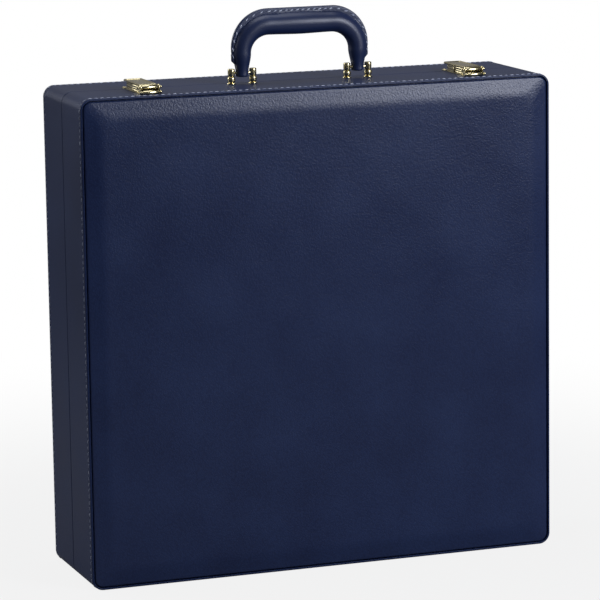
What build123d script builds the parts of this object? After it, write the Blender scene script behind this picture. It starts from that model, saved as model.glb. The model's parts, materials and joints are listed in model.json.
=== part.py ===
from build123d import *
import os
from math import radians, tan

# Chess piece storage box: a leather-covered wooden case in two equal halves.
# Frame: +X right, +Y from the front half to the back half, +Z up, origin on
# the floor under the middle of the closed case. All sizes are millimetres.

os.makedirs("parts", exist_ok=True)

# Case
case_width = 457.0
case_height = 453.0
half_depth = 62.0  # parting plane to the edge of the stitched rim
corner_radius = 10.5
seam_gap = 0.6  # between the closed halves

# Wood and leather of each half
leather = 1.4
wall = 8.0
board = 5.0
rabbet = 4.0  # how far the board is let into the wall
rim_width = 1.8
rim_height = 4.5  # the rim stands this far outside the frame
edge_roll = 1.2  # rounding of the leather at the seam
rim_roll = 0.8
inner_radius = 2.0  # corners inside the walls are never sharper than this

# Padded panels
panel_groove = 0.6  # between the rim and the panel
panel_tuck = 0.5  # the panel's side draws in towards its base
panel_crown = 3.0  # the middle of the panel stands this far outside the rim
panel_roll = 20.0  # width of the soft edge

# Lining and lattice for the pieces
lining = 1.0
tray_floor = 1.5
tray_wall = 4.0
divider = 5.0
tray_drop = 3.0  # tray walls lie this far inside the parting edge
divider_drop = 6.5
pawn_row = 82.0  # clear height of each of the two middle rows
piece_cells = 8
pawn_cells = 4

# Hinge along the bottom of the seam
hinge_height = 2.6  # axis above the floor
knuckle_radius = 2.0
hinge_pin_radius = 1.0
knuckle_count = 9
knuckle_pitch = 47.0
knuckle_gap = 0.4
leaf_thickness = 1.2
leaf_height = 6.2  # from the axis to the top of the leaf
leaf_relief = 0.35
leaf_end_gap = 0.2
groove_half_angle = 53.0  # each half is bevelled below the axis, so the lid opens past 100 degrees
screw_head_radius = 1.7
screw_head_edge = 0.15
screw_radius = 0.9
screw_length = 7.0
knuckles_per_screw = 2

# Handle and its posts
handle_span = 114.0  # between the two pivots
handle_line = -8.0  # the posts stand on the front half, close to the seam
pivot_height = 10.0  # pin axis above the top of the case
handle_pin_radius = 1.5
post_spread = 21.0  # between the two posts of a pair
post_height = 14.0
post_barrel_radius = 3.3
post_barrel_foot = 7.4  # the barrel reaches from here to the top
post_barrel_edge = 0.6
post_bulb_radius = 3.6
post_bulb_heights = (1.5, 3.1, 4.9, 6.7)  # where the bulb begins, is widest and ends
post_neck_radius = 2.5
post_base_radius = 4.1
post_base_height = 0.9
shank_radius = 2.0
backing_length = 34.0
backing_width = 9.0
backing_clearance = 0.1
backing_thickness = 1.2
grip_top = 70.0  # top of the handle above the case
grip_radius = 9.7  # roll of the grip at the middle of its top
bend_radius = 8.4  # roll in the corners
tongue_radius = 6.0  # roll at the pivot
tongue_reach = 3.6  # leather below the pin axis
grip_bend = 27.0  # radius of the roll's centre line in the corners
welt_width = 7.0
welt_thickness = 4.0
welt_clearance = 6.2  # from the pivot axis to the lower end of the welt
welt_draw = 5.0  # the welt draws in and slants at its lower end
core_width = 7.0
core_thickness = 2.4
eye_radius = 3.4

# Latches
latch_inset = 70.0  # from each end of the case to the middle of a latch
latch_plate_width = 20.0
latch_plate_thickness = 1.0
latch_setback = 13.5  # from the edge of the rim to the front of the base plate
latch_back = -2.5
roll_reach = 2.0  # a tab this long in front of the plate is rolled round a rod
roll_radius = 1.8
roll_width = 14.8
rod_radius = 0.8
rod_ball_radius = 1.5
latch_axis_setback = 3.0  # from the front of the base plate to the axis
latch_axis_height = 6.0
cheek_spread = 17.2  # over the middles of the two cheeks
cheek_thickness = 1.2
cheek_height = 6.6
cheek_back = 1.5  # from the back edge of the plate to the foot of the cheeks
cheek_slope = 1.0
cheek_knuckle_radius = 2.7
cheek_groove_heights = (2.5, 4.5)  # lower edges of the two grooves along each cheek
cheek_groove_width = 0.7
cheek_groove_depth = 0.4
ear_line = -21.0  # an ear stands beside each latch, on the handle's side
ear_length = 1.6
ear_thickness = 0.8
ear_height = 4.6
barrel_radius = 2.3
latch_pin_radius = 1.0
pin_ball_radius = 1.3
hasp_width = 17.6
hasp_thickness = 1.2
hasp_relief = 0.4  # between the cheeks' knuckles and the plate of the hasp
hasp_overlap = 2.0  # the barrel's strap runs this far over the plate
hasp_border = 1.4
hasp_border_inset = 0.4
hasp_border_height = 0.5
hasp_border_taper = 20.0
hasp_end = 7.0
hasp_corner = 2.0
hook_width = 10.0
hook_thickness = 1.3
hook_line = 4.9  # inner face of the hook
hook_drop = 4.6
keeper_front = 1.0
keeper_back = 9.5
keeper_width = 20.0
upstand_line = 2.6
upstand_thickness = 1.3
upstand_height = 4.6
upstand_width = 10.0
spring_width = 8.0
spring_thickness = 0.4
spring_rise = 4.4
spring_margin = 0.5  # between the spring's ends and the rivet heads
rivet_radius = 1.0
rivet_head_radius = 1.6
rivet_head_height = 0.6
rivet_offset = 9.0  # from the latch axis to the front rivet
rear_rivet_inset = 5.0
keeper_rivet_spread = 15.2

# Fits
running_clearance = 0.05  # on the radius, for whatever turns
seat_clearance = 0.05  # on the radius, for whatever is fastened
side_clearance = 0.2  # beside a moving knuckle, tongue or barrel
cutter_margin = 1.0  # cutters run this far past what they cut

# Worked out from the sizes above
seam = seam_gap / 2
frame_inset = leather + wall
frame_seam = seam + leather
frame_edge = half_depth - rim_height
board_inner = frame_edge - board
inner_width = case_width - 2 * frame_inset
inner_height = case_height - 2 * frame_inset
middle_height = case_height / 2
top = case_height
pivot_z = top + pivot_height
latch_axis_z = top + latch_axis_height
latch_front = latch_setback - half_depth
latch_axis_line = latch_front + latch_axis_setback
roll_line = latch_front - roll_reach
hinge_length = knuckle_count * knuckle_pitch
knuckle_length = knuckle_pitch - knuckle_gap
knuckle_sites = [(i - (knuckle_count - 1) / 2) * knuckle_pitch for i in range(knuckle_count)]
screw_sites = knuckle_sites[::knuckles_per_screw]
screw_z = hinge_height + leaf_relief + (knuckle_radius + leaf_height) / 2
pivot_sites = (-handle_span / 2, handle_span / 2)
backing_z = top - frame_inset + backing_thickness / 2
post_sites = [(x + dx, handle_line) for x in pivot_sites for dx in (-post_spread / 2, post_spread / 2)]
latch_offset = case_width / 2 - latch_inset
latch_sites = {"left": -latch_offset, "right": latch_offset}
FRONT, BACK = -1, 1


def outward(side, depth):
    """Plane parallel to the seam, its normal pointing out of that half, depth outside the seam."""
    return Plane(origin=(0, side * depth, middle_height), x_dir=(-side, 0, 0), z_dir=(0, side, 0))


def rounded(inset):
    """Width, height and corner radius of the case's outline, drawn in by inset."""
    return case_width - 2 * inset, case_height - 2 * inset, max(corner_radius - inset, inner_radius)


def keep(piece, name):
    """Label a finished piece and write it."""
    piece.part.label = name
    export_step(piece.part, f"parts/{name}.step")


# Cutters shared by several pieces

# Room for the knuckles, and the bevels that let the lid swing past a right angle
with BuildPart() as hinge_groove:
    with BuildSketch(Plane.YZ):
        with Locations((0, hinge_height)):
            Circle(knuckle_radius + leaf_relief)
        with BuildLine():
            spread = (hinge_height + cutter_margin) * tan(radians(groove_half_angle))
            Polyline((0, hinge_height), (spread, -cutter_margin), (-spread, -cutter_margin), close=True)
        make_face()
    extrude(amount=case_width, both=True)


def make_screw(extra):
    """Countersunk wood screw pointing down from the origin, grown by extra on its radius."""
    with BuildPart() as screw:
        with BuildSketch(Plane.XZ):
            with BuildLine():
                Polyline(
                    (0, extra),
                    (screw_head_radius + extra, extra),
                    (screw_head_radius + extra, -screw_head_edge),
                    (screw_radius + extra, -leaf_thickness),
                    (screw_radius + extra, -screw_length + screw_radius),
                    (0, -screw_length - extra),
                    close=True,
                )
            make_face()
        revolve(axis=Axis.Z)
    return screw.part


def make_screws(side, extra):
    """The hinge screws of one leaf, driven into that half's wall."""
    form = make_screw(extra)
    with BuildPart() as screws:
        with Locations(*[Location((x, side * seam, screw_z), (90 * side, 0, 0)) for x in screw_sites]):
            add(form)
    return screws


def make_rivet(stock, extra):
    """Round-headed rivet with its head on the origin plane and a shank of length stock below it."""
    with BuildPart() as rivet:
        with BuildSketch(Plane.XZ):
            with BuildLine():
                Polyline((0, -stock), (rivet_radius + extra, -stock), (rivet_radius + extra, 0))
                Line((rivet_radius + extra, 0), (rivet_head_radius + extra, 0))
                Polyline(
                    (rivet_head_radius + extra, 0),
                    (rivet_head_radius + extra, rivet_head_height * 0.4),
                    (rivet_head_radius * 0.5, rivet_head_height),
                    (0, rivet_head_height),
                    (0, -stock),
                )
            make_face()
        revolve(axis=Axis.Z)
    return rivet.part


latch_rivet_lines = (latch_axis_line + rivet_offset, latch_back - rear_rivet_inset)
keeper_rivet_line = (upstand_line + upstand_thickness + keeper_back) / 2
latch_rivet_sites = [
    (x, y, top + latch_plate_thickness) for x in latch_sites.values() for y in latch_rivet_lines
]
keeper_rivet_sites = [
    (x + dx, keeper_rivet_line, top + latch_plate_thickness)
    for x in latch_sites.values()
    for dx in (-keeper_rivet_spread / 2, keeper_rivet_spread / 2)
]
rivet_stock = frame_inset + latch_plate_thickness


def make_rivets(sites, extra):
    """Rivets at the given sites, through the plate, the leather and the wall."""
    form = make_rivet(rivet_stock, extra)
    with BuildPart() as rivets:
        with Locations(*sites):
            add(form)
    return rivets


# Through holes for the post shanks and the pockets of the plates that back them
with BuildPart() as post_drillings:
    with Locations(*[(x, y, top - frame_inset / 2) for x, y in post_sites]):
        Cylinder(shank_radius + seat_clearance, frame_inset + 2 * cutter_margin)
with BuildPart() as backing_pockets:
    with Locations(*[(x, handle_line, backing_z) for x in pivot_sites]):
        Box(backing_length + 2 * backing_clearance, backing_width + 2 * backing_clearance, backing_thickness)

front_rivet_holes = make_rivets(latch_rivet_sites, seat_clearance)
back_rivet_holes = make_rivets(keeper_rivet_sites, seat_clearance)
drillings = {
    FRONT: [post_drillings.part, front_rivet_holes.part],
    BACK: [back_rivet_holes.part],
}


# The two halves of the case

def make_frame(side):
    """Wooden wall of one half, rabbeted for its board."""
    with BuildPart() as frame:
        with BuildSketch(outward(side, frame_seam)):
            RectangleRounded(*rounded(leather))
            RectangleRounded(*rounded(frame_inset), mode=Mode.SUBTRACT)
        extrude(amount=frame_edge - frame_seam)
        with BuildSketch(outward(side, board_inner)):
            RectangleRounded(*rounded(frame_inset - rabbet))
        extrude(amount=board, mode=Mode.SUBTRACT)
        add(hinge_groove.part, mode=Mode.SUBTRACT)
        add(make_screws(side, seat_clearance).part, mode=Mode.SUBTRACT)
        add(drillings[side], mode=Mode.SUBTRACT)
        if side == FRONT:
            add(backing_pockets.part, mode=Mode.SUBTRACT)
    return frame


def make_board(side):
    """Flat panel that closes one half, set in the rabbet."""
    with BuildPart() as panel_board:
        with BuildSketch(outward(side, board_inner)):
            RectangleRounded(*rounded(frame_inset - rabbet))
        extrude(amount=board)
    return panel_board


def make_leather(side):
    """Leather of one half: the band round the wall, the turned seam edge and the standing rim."""
    with BuildPart() as cover:
        with BuildSketch(outward(side, seam)):
            RectangleRounded(*rounded(0))
            RectangleRounded(*rounded(leather), mode=Mode.SUBTRACT)
        extrude(amount=half_depth - seam)
        with BuildSketch(outward(side, seam)):
            RectangleRounded(*rounded(0))
            RectangleRounded(*rounded(frame_inset), mode=Mode.SUBTRACT)
        extrude(amount=leather)
        with BuildSketch(outward(side, frame_edge)):
            RectangleRounded(*rounded(0))
            RectangleRounded(*rounded(rim_width), mode=Mode.SUBTRACT)
        extrude(amount=rim_height)
        faces = cover.faces().filter_by(Axis.Y).sort_by(Axis.Y)
        seam_face, rim_face = (faces[-1], faces[0]) if side == FRONT else (faces[0], faces[-1])
        fillet(seam_face.outer_wire().edges(), edge_roll)
        fillet(rim_face.edges(), rim_roll)
        add(hinge_groove.part, mode=Mode.SUBTRACT)
        with Locations((0, side * (seam + leaf_thickness / 2), hinge_height + leaf_height / 2)):
            Box(hinge_length + 2 * leaf_end_gap, leaf_thickness, leaf_height, mode=Mode.SUBTRACT)
        add(make_screws(side, seat_clearance).part, mode=Mode.SUBTRACT)
        add(drillings[side], mode=Mode.SUBTRACT)
    return cover


def make_padded_panel(side):
    """Padded leather panel inside the rim, with a soft rolled edge and a low crown.

    Each step is a share of the panel's height and a share of its roll: a steep side, a quick turn just
    below the rim's height, a wide even slope, and a short ease into the flat middle.
    """
    reach = rim_height + panel_crown
    base_inset = rim_width + panel_groove
    steps = [(0.5, 0.0), (0.58, 0.04), (0.9, 0.6), (0.98, 0.82), (1.0, 1.0)]
    with BuildPart() as pad:
        with BuildSketch(outward(side, frame_edge)):
            RectangleRounded(*rounded(base_inset + panel_tuck))
        for height, run in steps:
            with BuildSketch(outward(side, frame_edge + reach * height)):
                RectangleRounded(*rounded(base_inset + panel_roll * run))
        loft(ruled=True)
    return pad


body_frame = make_frame(FRONT)
keep(body_frame, "body_frame")
lid_frame = make_frame(BACK)
keep(lid_frame, "lid_frame")
body_board = make_board(FRONT)
keep(body_board, "body_board")
lid_board = make_board(BACK)
keep(lid_board, "lid_board")
body_leather = make_leather(FRONT)
keep(body_leather, "body_leather")
lid_leather = make_leather(BACK)
keep(lid_leather, "lid_leather")
body_padded_panel = make_padded_panel(FRONT)
keep(body_padded_panel, "body_padded_panel")
lid_padded_panel = make_padded_panel(BACK)
keep(lid_padded_panel, "lid_padded_panel")

# Interior of the front half: a tray with a lattice, two rows of cells for the
# pieces at the top and bottom and two rows of wider cells for pawns between
tray_width = inner_width - 2 * side_clearance
tray_height = inner_height - 2 * side_clearance
lattice_width = tray_width - 2 * tray_wall
lattice_height = tray_height - 2 * tray_wall
piece_row = (lattice_height - 3 * divider - 2 * pawn_row) / 2
shelf_offset = pawn_row + divider  # between the middles of neighbouring shelves
lattice_depth = board_inner - tray_floor - seam - divider_drop
lattice_base = board_inner - tray_floor - lattice_depth / 2  # middle of the dividers' depth
piece_row_offset = shelf_offset + divider / 2 + piece_row / 2
pawn_row_offset = shelf_offset / 2

with BuildPart() as insert_tray:
    with BuildSketch(outward(FRONT, seam + tray_drop)):
        RectangleRounded(tray_width, tray_height, inner_radius)
        Rectangle(lattice_width, lattice_height, mode=Mode.SUBTRACT)
    extrude(amount=board_inner - seam - tray_drop)
    with BuildSketch(outward(FRONT, board_inner - tray_floor)):
        RectangleRounded(tray_width, tray_height, inner_radius)
    extrude(amount=tray_floor)
keep(insert_tray, "insert_tray")

with BuildPart() as long_dividers:
    with Locations(*[(0, -lattice_base, middle_height + k * shelf_offset) for k in (-1, 0, 1)]):
        Box(lattice_width, lattice_depth, divider)
keep(long_dividers, "long_dividers")


def make_cross_dividers(cells, row_height, row_offset):
    """Upright dividers that split an upper and a lower row into equal cells."""
    pitch = (lattice_width + divider) / cells
    sites = [(k - cells / 2) * pitch for k in range(1, cells)]
    with BuildPart() as dividers:
        with Locations(
            *[(x, -lattice_base, middle_height + s * row_offset) for x in sites for s in (-1, 1)]
        ):
            Box(divider, lattice_depth, row_height)
    return dividers


piece_dividers = make_cross_dividers(piece_cells, piece_row, piece_row_offset)
keep(piece_dividers, "piece_dividers")
pawn_dividers = make_cross_dividers(pawn_cells, pawn_row, pawn_row_offset)
keep(pawn_dividers, "pawn_dividers")

# Interior of the back half: an open lined tray
lining_width = tray_width - 2 * lining
lining_height = tray_height - 2 * lining

with BuildPart() as lid_lining:
    with BuildSketch(outward(BACK, seam + tray_drop)):
        RectangleRounded(tray_width, tray_height, inner_radius)
        RectangleRounded(lining_width, lining_height, inner_radius - lining, mode=Mode.SUBTRACT)
    extrude(amount=board_inner - seam - tray_drop)
    with BuildSketch(outward(BACK, board_inner - lining)):
        RectangleRounded(tray_width, tray_height, inner_radius)
    extrude(amount=lining)
keep(lid_lining, "lid_lining")


# Hinge: two leaves with alternating knuckles on one long pin

def make_leaf(side, sites):
    """One leaf with its knuckles, let into the seam edge of its half."""
    leaf_line = side * (seam + leaf_thickness / 2)
    plate_foot = knuckle_radius + leaf_relief
    bore_length = hinge_length + 2 * cutter_margin
    with BuildPart() as leaf:
        with Locations((0, leaf_line, hinge_height + (plate_foot + leaf_height) / 2)):
            Box(hinge_length, leaf_thickness, leaf_height - plate_foot)
        with Locations(*[(x, leaf_line, hinge_height + leaf_height / 2) for x in sites]):
            Box(knuckle_length, leaf_thickness, leaf_height)
        with Locations(*[Location((x, 0, hinge_height), (0, 90, 0)) for x in sites]):
            Cylinder(knuckle_radius, knuckle_length)
        with Locations(Location((0, 0, hinge_height), (0, 90, 0))):
            Cylinder(hinge_pin_radius + running_clearance, bore_length, mode=Mode.SUBTRACT)
        add(make_screws(side, seat_clearance).part, mode=Mode.SUBTRACT)
    return leaf


hinge_leaf_body = make_leaf(FRONT, knuckle_sites[0::2])
keep(hinge_leaf_body, "hinge_leaf_body")
hinge_leaf_lid = make_leaf(BACK, knuckle_sites[1::2])
keep(hinge_leaf_lid, "hinge_leaf_lid")
hinge_screws_body = make_screws(FRONT, 0)
keep(hinge_screws_body, "hinge_screws_body")
hinge_screws_lid = make_screws(BACK, 0)
keep(hinge_screws_lid, "hinge_screws_lid")

with BuildPart() as hinge_pin:
    with Locations(Location((0, 0, hinge_height), (0, 90, 0))):
        Cylinder(hinge_pin_radius, hinge_length)
keep(hinge_pin, "hinge_pin")

# Handle posts: turned brass, riveted through the top wall over a backing plate
with BuildPart() as post_form:
    with BuildSketch(Plane.XZ):
        with BuildLine():
            Polyline(
                (0, -frame_inset),
                (shank_radius, -frame_inset),
                (shank_radius, 0),
                (post_base_radius, 0),
                (post_base_radius, post_base_height),
                (post_neck_radius, post_bulb_heights[0]),
                (post_bulb_radius, post_bulb_heights[1]),
                (post_bulb_radius, post_bulb_heights[2]),
                (post_neck_radius, post_bulb_heights[3]),
                (post_barrel_radius, post_barrel_foot),
                (post_barrel_radius, post_height - post_barrel_edge),
                (post_barrel_radius - post_barrel_edge, post_height),
                (0, post_height),
                close=True,
            )
        make_face()
    revolve(axis=Axis.Z)

with BuildPart() as handle_posts:
    with Locations(*[(x, y, top) for x, y in post_sites]):
        add(post_form.part)
    with Locations(Location((0, handle_line, pivot_z), (0, 90, 0))):
        Cylinder(handle_pin_radius + seat_clearance, 2 * handle_span, mode=Mode.SUBTRACT)
keep(handle_posts, "handle_posts")

with BuildPart() as handle_pins:
    with Locations(*[Location((x, handle_line, pivot_z), (0, 90, 0)) for x in pivot_sites]):
        Cylinder(handle_pin_radius, post_spread + 2 * (post_barrel_radius - post_barrel_edge / 2))
keep(handle_pins, "handle_pins")

with BuildPart() as handle_backing_plates:
    with Locations(*[(x, handle_line, backing_z) for x in pivot_sites]):
        Box(backing_length, backing_width, backing_thickness)
    with Locations(*[(x, y, top - frame_inset) for x, y in post_sites]):
        Cylinder(shank_radius + seat_clearance, 4 * backing_thickness, mode=Mode.SUBTRACT)
keep(handle_backing_plates, "handle_backing_plates")

# Handle: a leather roll round a steel core, with a stitched welt along its outer side
leg_line = handle_span / 2
roll_top = grip_top - welt_width - bend_radius  # centre line of the roll above the case
bend_start = leg_line - grip_bend
bend_end = roll_top - grip_bend
welt_foot = pivot_height + welt_clearance
welt_outer = leg_line + bend_radius + welt_width - welt_draw
welt_bend = grip_bend + bend_radius
handle_plane = Plane(origin=(0, handle_line, top), x_dir=(1, 0, 0), z_dir=(0, -1, 0))


def roll_plane(x, z, direction):
    """Plane across the roll's centre line at x, z above the case."""
    return Plane(origin=(x, handle_line, top + z), z_dir=direction)


with BuildPart() as half_grip:
    with BuildSketch(roll_plane(0, roll_top, (1, 0, 0))):
        Circle(grip_radius)
    with BuildSketch(roll_plane(bend_start, roll_top, (1, 0, 0))):
        Circle(bend_radius)
    loft(ruled=True)
    with BuildSketch(roll_plane(bend_start, roll_top, (1, 0, 0))):
        Circle(bend_radius)
    revolve(axis=Axis((bend_start, handle_line, top + bend_end), (0, 1, 0)), revolution_arc=90)
    with BuildSketch(roll_plane(leg_line, bend_end, (0, 0, -1))):
        Circle(bend_radius)
    with BuildSketch(roll_plane(leg_line, pivot_height, (0, 0, -1))):
        Circle(tongue_radius)
    loft(ruled=True)
    with BuildSketch(roll_plane(leg_line, pivot_height, (0, 0, -1))):
        Circle(tongue_radius)
    extrude(amount=tongue_reach)
    with BuildSketch(handle_plane):
        with BuildLine():
            outer = FilletPolyline(
                (0, grip_top),
                (welt_outer, grip_top),
                (welt_outer, welt_foot + welt_draw),
                radius=welt_bend,
            )
            inner = FilletPolyline(
                (0, roll_top),
                (leg_line, roll_top),
                (leg_line, welt_foot),
                radius=grip_bend,
            )
            Polyline(outer @ 1, (welt_outer - welt_draw, welt_foot), inner @ 1)
            Line(outer @ 0, inner @ 0)
        make_face()
    extrude(amount=welt_thickness / 2, both=True)

# Core: a flat steel strip bent to the grip's line, its ends bored for the pins
with BuildPart() as half_core:
    with BuildSketch(handle_plane):
        with BuildLine():
            half = core_thickness / 2
            over = FilletPolyline(
                (0, roll_top + half),
                (leg_line + half, roll_top + half),
                (leg_line + half, pivot_height),
                radius=grip_bend + half,
            )
            under = FilletPolyline(
                (0, roll_top - half),
                (leg_line - half, roll_top - half),
                (leg_line - half, pivot_height),
                radius=grip_bend - half,
            )
            Line(over @ 0, under @ 0)
            Line(over @ 1, under @ 1)
        make_face()
    extrude(amount=core_width / 2, both=True)
    with Locations(Location((leg_line, handle_line, pivot_z), (0, 90, 0))):
        Cylinder(eye_radius, core_width)

with BuildPart() as handle_core:
    add(half_core.part)
    mirror(about=Plane.YZ)
    with Locations(*[Location((x, handle_line, pivot_z), (0, 90, 0)) for x in pivot_sites]):
        Cylinder(handle_pin_radius + running_clearance, 4 * tongue_radius, mode=Mode.SUBTRACT)
keep(handle_core, "handle_core")

with BuildPart() as handle_grip:
    add(half_grip.part)
    add(half_core.part, mode=Mode.SUBTRACT)
    mirror(about=Plane.YZ)
    with Locations(*[Location((x, handle_line, pivot_z), (0, 90, 0)) for x in pivot_sites]):
        Cylinder(handle_pin_radius + running_clearance, 4 * tongue_radius, mode=Mode.SUBTRACT)
keep(handle_grip, "handle_grip")


# Latches: a cheeked base on the front half, a hinged hasp, and a keeper on the back half
barrel_width = cheek_spread - cheek_thickness - 2 * side_clearance
hasp_under = top + cheek_height + side_clearance
hasp_top = hasp_under + hasp_thickness


def make_latch_base(x):
    """Base plate rolled round a rod in front, with two grooved cheeks that carry the pin, and an ear."""
    inward = -1 if x > 0 else 1
    ear_x = x + inward * (latch_plate_width - ear_thickness) / 2
    cheek_foot = top + latch_plate_thickness
    with BuildPart() as base:
        with Locations((x, (latch_front + latch_back) / 2, top + latch_plate_thickness / 2)):
            Box(latch_plate_width, latch_back - latch_front, latch_plate_thickness)
        fillet(base.edges().filter_by(Axis.Z), hasp_corner)
        with Locations((x, latch_front, top + latch_plate_thickness / 2)):
            Box(roll_width, 2 * roll_reach, latch_plate_thickness)
        with Locations(Location((x, roll_line, top + roll_radius), (0, 90, 0))):
            Cylinder(roll_radius, roll_width)
        for offset in (-cheek_spread / 2, cheek_spread / 2):
            with BuildSketch(Plane.YZ.offset(x + offset)):
                with Locations((latch_axis_line, latch_axis_z)):
                    Circle(cheek_knuckle_radius)
                with BuildLine():
                    Polyline(
                        (latch_axis_line, top + cheek_height),
                        (latch_back - cheek_back - cheek_slope, top + cheek_height),
                        (latch_back - cheek_back, cheek_foot),
                        (latch_axis_line - cheek_knuckle_radius / 2, cheek_foot),
                        (latch_axis_line - cheek_knuckle_radius, latch_axis_z),
                        close=True,
                    )
                make_face()
            extrude(amount=cheek_thickness / 2, both=True)
        groove_length = latch_back - latch_axis_line - 2 * cheek_knuckle_radius
        groove_line = (latch_back + latch_axis_line) / 2
        groove_x = (cheek_spread + cheek_thickness) / 2
        groove_levels = [top + low + cheek_groove_width / 2 for low in cheek_groove_heights]
        with Locations(*[(x + s * groove_x, groove_line, z) for s in (-1, 1) for z in groove_levels]):
            Box(2 * cheek_groove_depth, groove_length, cheek_groove_width, mode=Mode.SUBTRACT)
        with Locations((ear_x, ear_line, cheek_foot + ear_height / 2)):
            Box(ear_thickness, ear_length, ear_height)
        with Locations(Location((x, latch_axis_line, latch_axis_z), (0, 90, 0))):
            Cylinder(latch_pin_radius + seat_clearance, latch_plate_width, mode=Mode.SUBTRACT)
        with Locations(Location((x, roll_line, top + roll_radius), (0, 90, 0))):
            Cylinder(rod_radius + seat_clearance, latch_plate_width, mode=Mode.SUBTRACT)
        add(front_rivet_holes.part, mode=Mode.SUBTRACT)
    return base


def make_hasp(x):
    """Hasp: a barrel on the pin, a bordered plate over the seam and a hook behind the keeper."""
    plate_front = latch_axis_line + cheek_knuckle_radius + hasp_relief
    plate_length = hasp_end - plate_front
    plate_middle = (hasp_end + plate_front) / 2
    border_outer = (hasp_width - 2 * hasp_border_inset, plate_length - 2 * hasp_border_inset)
    border_inner = [size - 2 * hasp_border for size in border_outer]
    border_radius = hasp_corner - hasp_border_inset
    strap_back = plate_front + hasp_overlap
    with BuildPart() as hasp:
        with Locations((x, plate_middle, (hasp_under + hasp_top) / 2)):
            Box(hasp_width, plate_length, hasp_thickness)
        fillet(hasp.edges().filter_by(Axis.Z).sort_by(Axis.Y)[-2:], hasp_corner)
        with BuildSketch(Plane.XY.offset(hasp_top)):
            with Locations((x, plate_middle)):
                RectangleRounded(*border_outer, border_radius)
                RectangleRounded(*border_inner, border_radius / 2, mode=Mode.SUBTRACT)
        extrude(amount=hasp_border_height, taper=hasp_border_taper)
        with Locations(Location((x, latch_axis_line, latch_axis_z), (0, 90, 0))):
            Cylinder(barrel_radius, barrel_width)
        with Locations((x, (latch_axis_line + strap_back) / 2, (hasp_under + hasp_top) / 2)):
            Box(barrel_width, strap_back - latch_axis_line, hasp_thickness)
        with Locations((x, hook_line + hook_thickness / 2, hasp_under - hook_drop / 2)):
            Box(hook_width, hook_thickness, hook_drop)
        with Locations(Location((x, latch_axis_line, latch_axis_z), (0, 90, 0))):
            Cylinder(latch_pin_radius + running_clearance, latch_plate_width, mode=Mode.SUBTRACT)
    return hasp


def make_keeper(x):
    """Keeper plate with the upstand that the hook drops behind."""
    with BuildPart() as keeper:
        with Locations((x, (keeper_front + keeper_back) / 2, top + latch_plate_thickness / 2)):
            Box(keeper_width, keeper_back - keeper_front, latch_plate_thickness)
        fillet(keeper.edges().filter_by(Axis.Z).sort_by(Axis.Y)[-2:], hasp_corner)
        upstand_z = top + latch_plate_thickness + upstand_height / 2
        with Locations((x, upstand_line + upstand_thickness / 2, upstand_z)):
            Box(upstand_width, upstand_thickness, upstand_height)
        add(back_rivet_holes.part, mode=Mode.SUBTRACT)
    return keeper


for side_name, latch_x in latch_sites.items():
    keep(make_latch_base(latch_x), f"{side_name}_latch_base")
    keep(make_hasp(latch_x), f"{side_name}_hasp")
    keep(make_keeper(latch_x), f"{side_name}_keeper")

latch_rivets = make_rivets(latch_rivet_sites, 0)
keep(latch_rivets, "latch_rivets")
keeper_rivets = make_rivets(keeper_rivet_sites, 0)
keep(keeper_rivets, "keeper_rivets")


def make_ball_pin(radius, ball_radius, half_width):
    """Straight pin along Z with a ball at each end, the balls standing just outside half_width."""
    middle = half_width + side_clearance + ball_radius
    with BuildPart() as pin:
        with BuildSketch(Plane.XZ):
            with BuildLine():
                Line((0, -middle - ball_radius), (0, middle + ball_radius))
                for s in (-1, 1):
                    Polyline(
                        (0, s * (middle + ball_radius)),
                        (ball_radius * 0.55, s * (middle + ball_radius * 0.9)),
                        (ball_radius, s * (middle + ball_radius * 0.4)),
                        (ball_radius, s * (middle - ball_radius * 0.4)),
                        (radius, s * (middle - ball_radius)),
                    )
                Line((radius, -middle + ball_radius), (radius, middle - ball_radius))
            make_face()
        revolve(axis=Axis.Z)
    return pin.part


# The hasps turn on the pins; the rods fill the rolled front edges of the bases
pin_form = make_ball_pin(latch_pin_radius, pin_ball_radius, (cheek_spread + cheek_thickness) / 2)
with BuildPart() as latch_pins:
    with Locations(*[Location((x, latch_axis_line, latch_axis_z), (0, 90, 0)) for x in latch_sites.values()]):
        add(pin_form)
keep(latch_pins, "latch_pins")

rod_form = make_ball_pin(rod_radius, rod_ball_radius, roll_width / 2)
with BuildPart() as latch_rods:
    with Locations(*[Location((x, roll_line, top + roll_radius), (0, 90, 0)) for x in latch_sites.values()]):
        add(rod_form)
keep(latch_rods, "latch_rods")

# Leaf springs under the hasps, arched between the rivet heads of the base
with BuildPart() as latch_springs:
    foot = latch_rivet_lines[0] + rivet_head_radius + spring_margin
    spring_length = latch_rivet_lines[1] - rivet_head_radius - spring_margin - foot
    base_z = top + latch_plate_thickness
    for latch_x in latch_sites.values():
        with BuildSketch(Plane.YZ.offset(latch_x)):
            with BuildLine():
                low = ThreePointArc(
                    (foot, base_z),
                    (foot + spring_length / 2, base_z + spring_rise),
                    (foot + spring_length, base_z),
                )
                high = ThreePointArc(
                    (foot + spring_thickness * 2, base_z),
                    (foot + spring_length / 2, base_z + spring_rise - spring_thickness),
                    (foot + spring_length - spring_thickness * 2, base_z),
                )
                Line(low @ 0, high @ 0)
                Line(low @ 1, high @ 1)
            make_face()
        extrude(amount=spring_width / 2, both=True)
keep(latch_springs, "latch_springs")
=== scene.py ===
"""The look of a leather chess piece storage box: navy leather over wood, turned brass, velvet cells."""

import json
import logging
import math
from dataclasses import dataclass
from enum import Enum
from typing import Optional, Sequence, Union

import bmesh
import bpy
import numpy as np
from mathutils import Matrix, Vector


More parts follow.
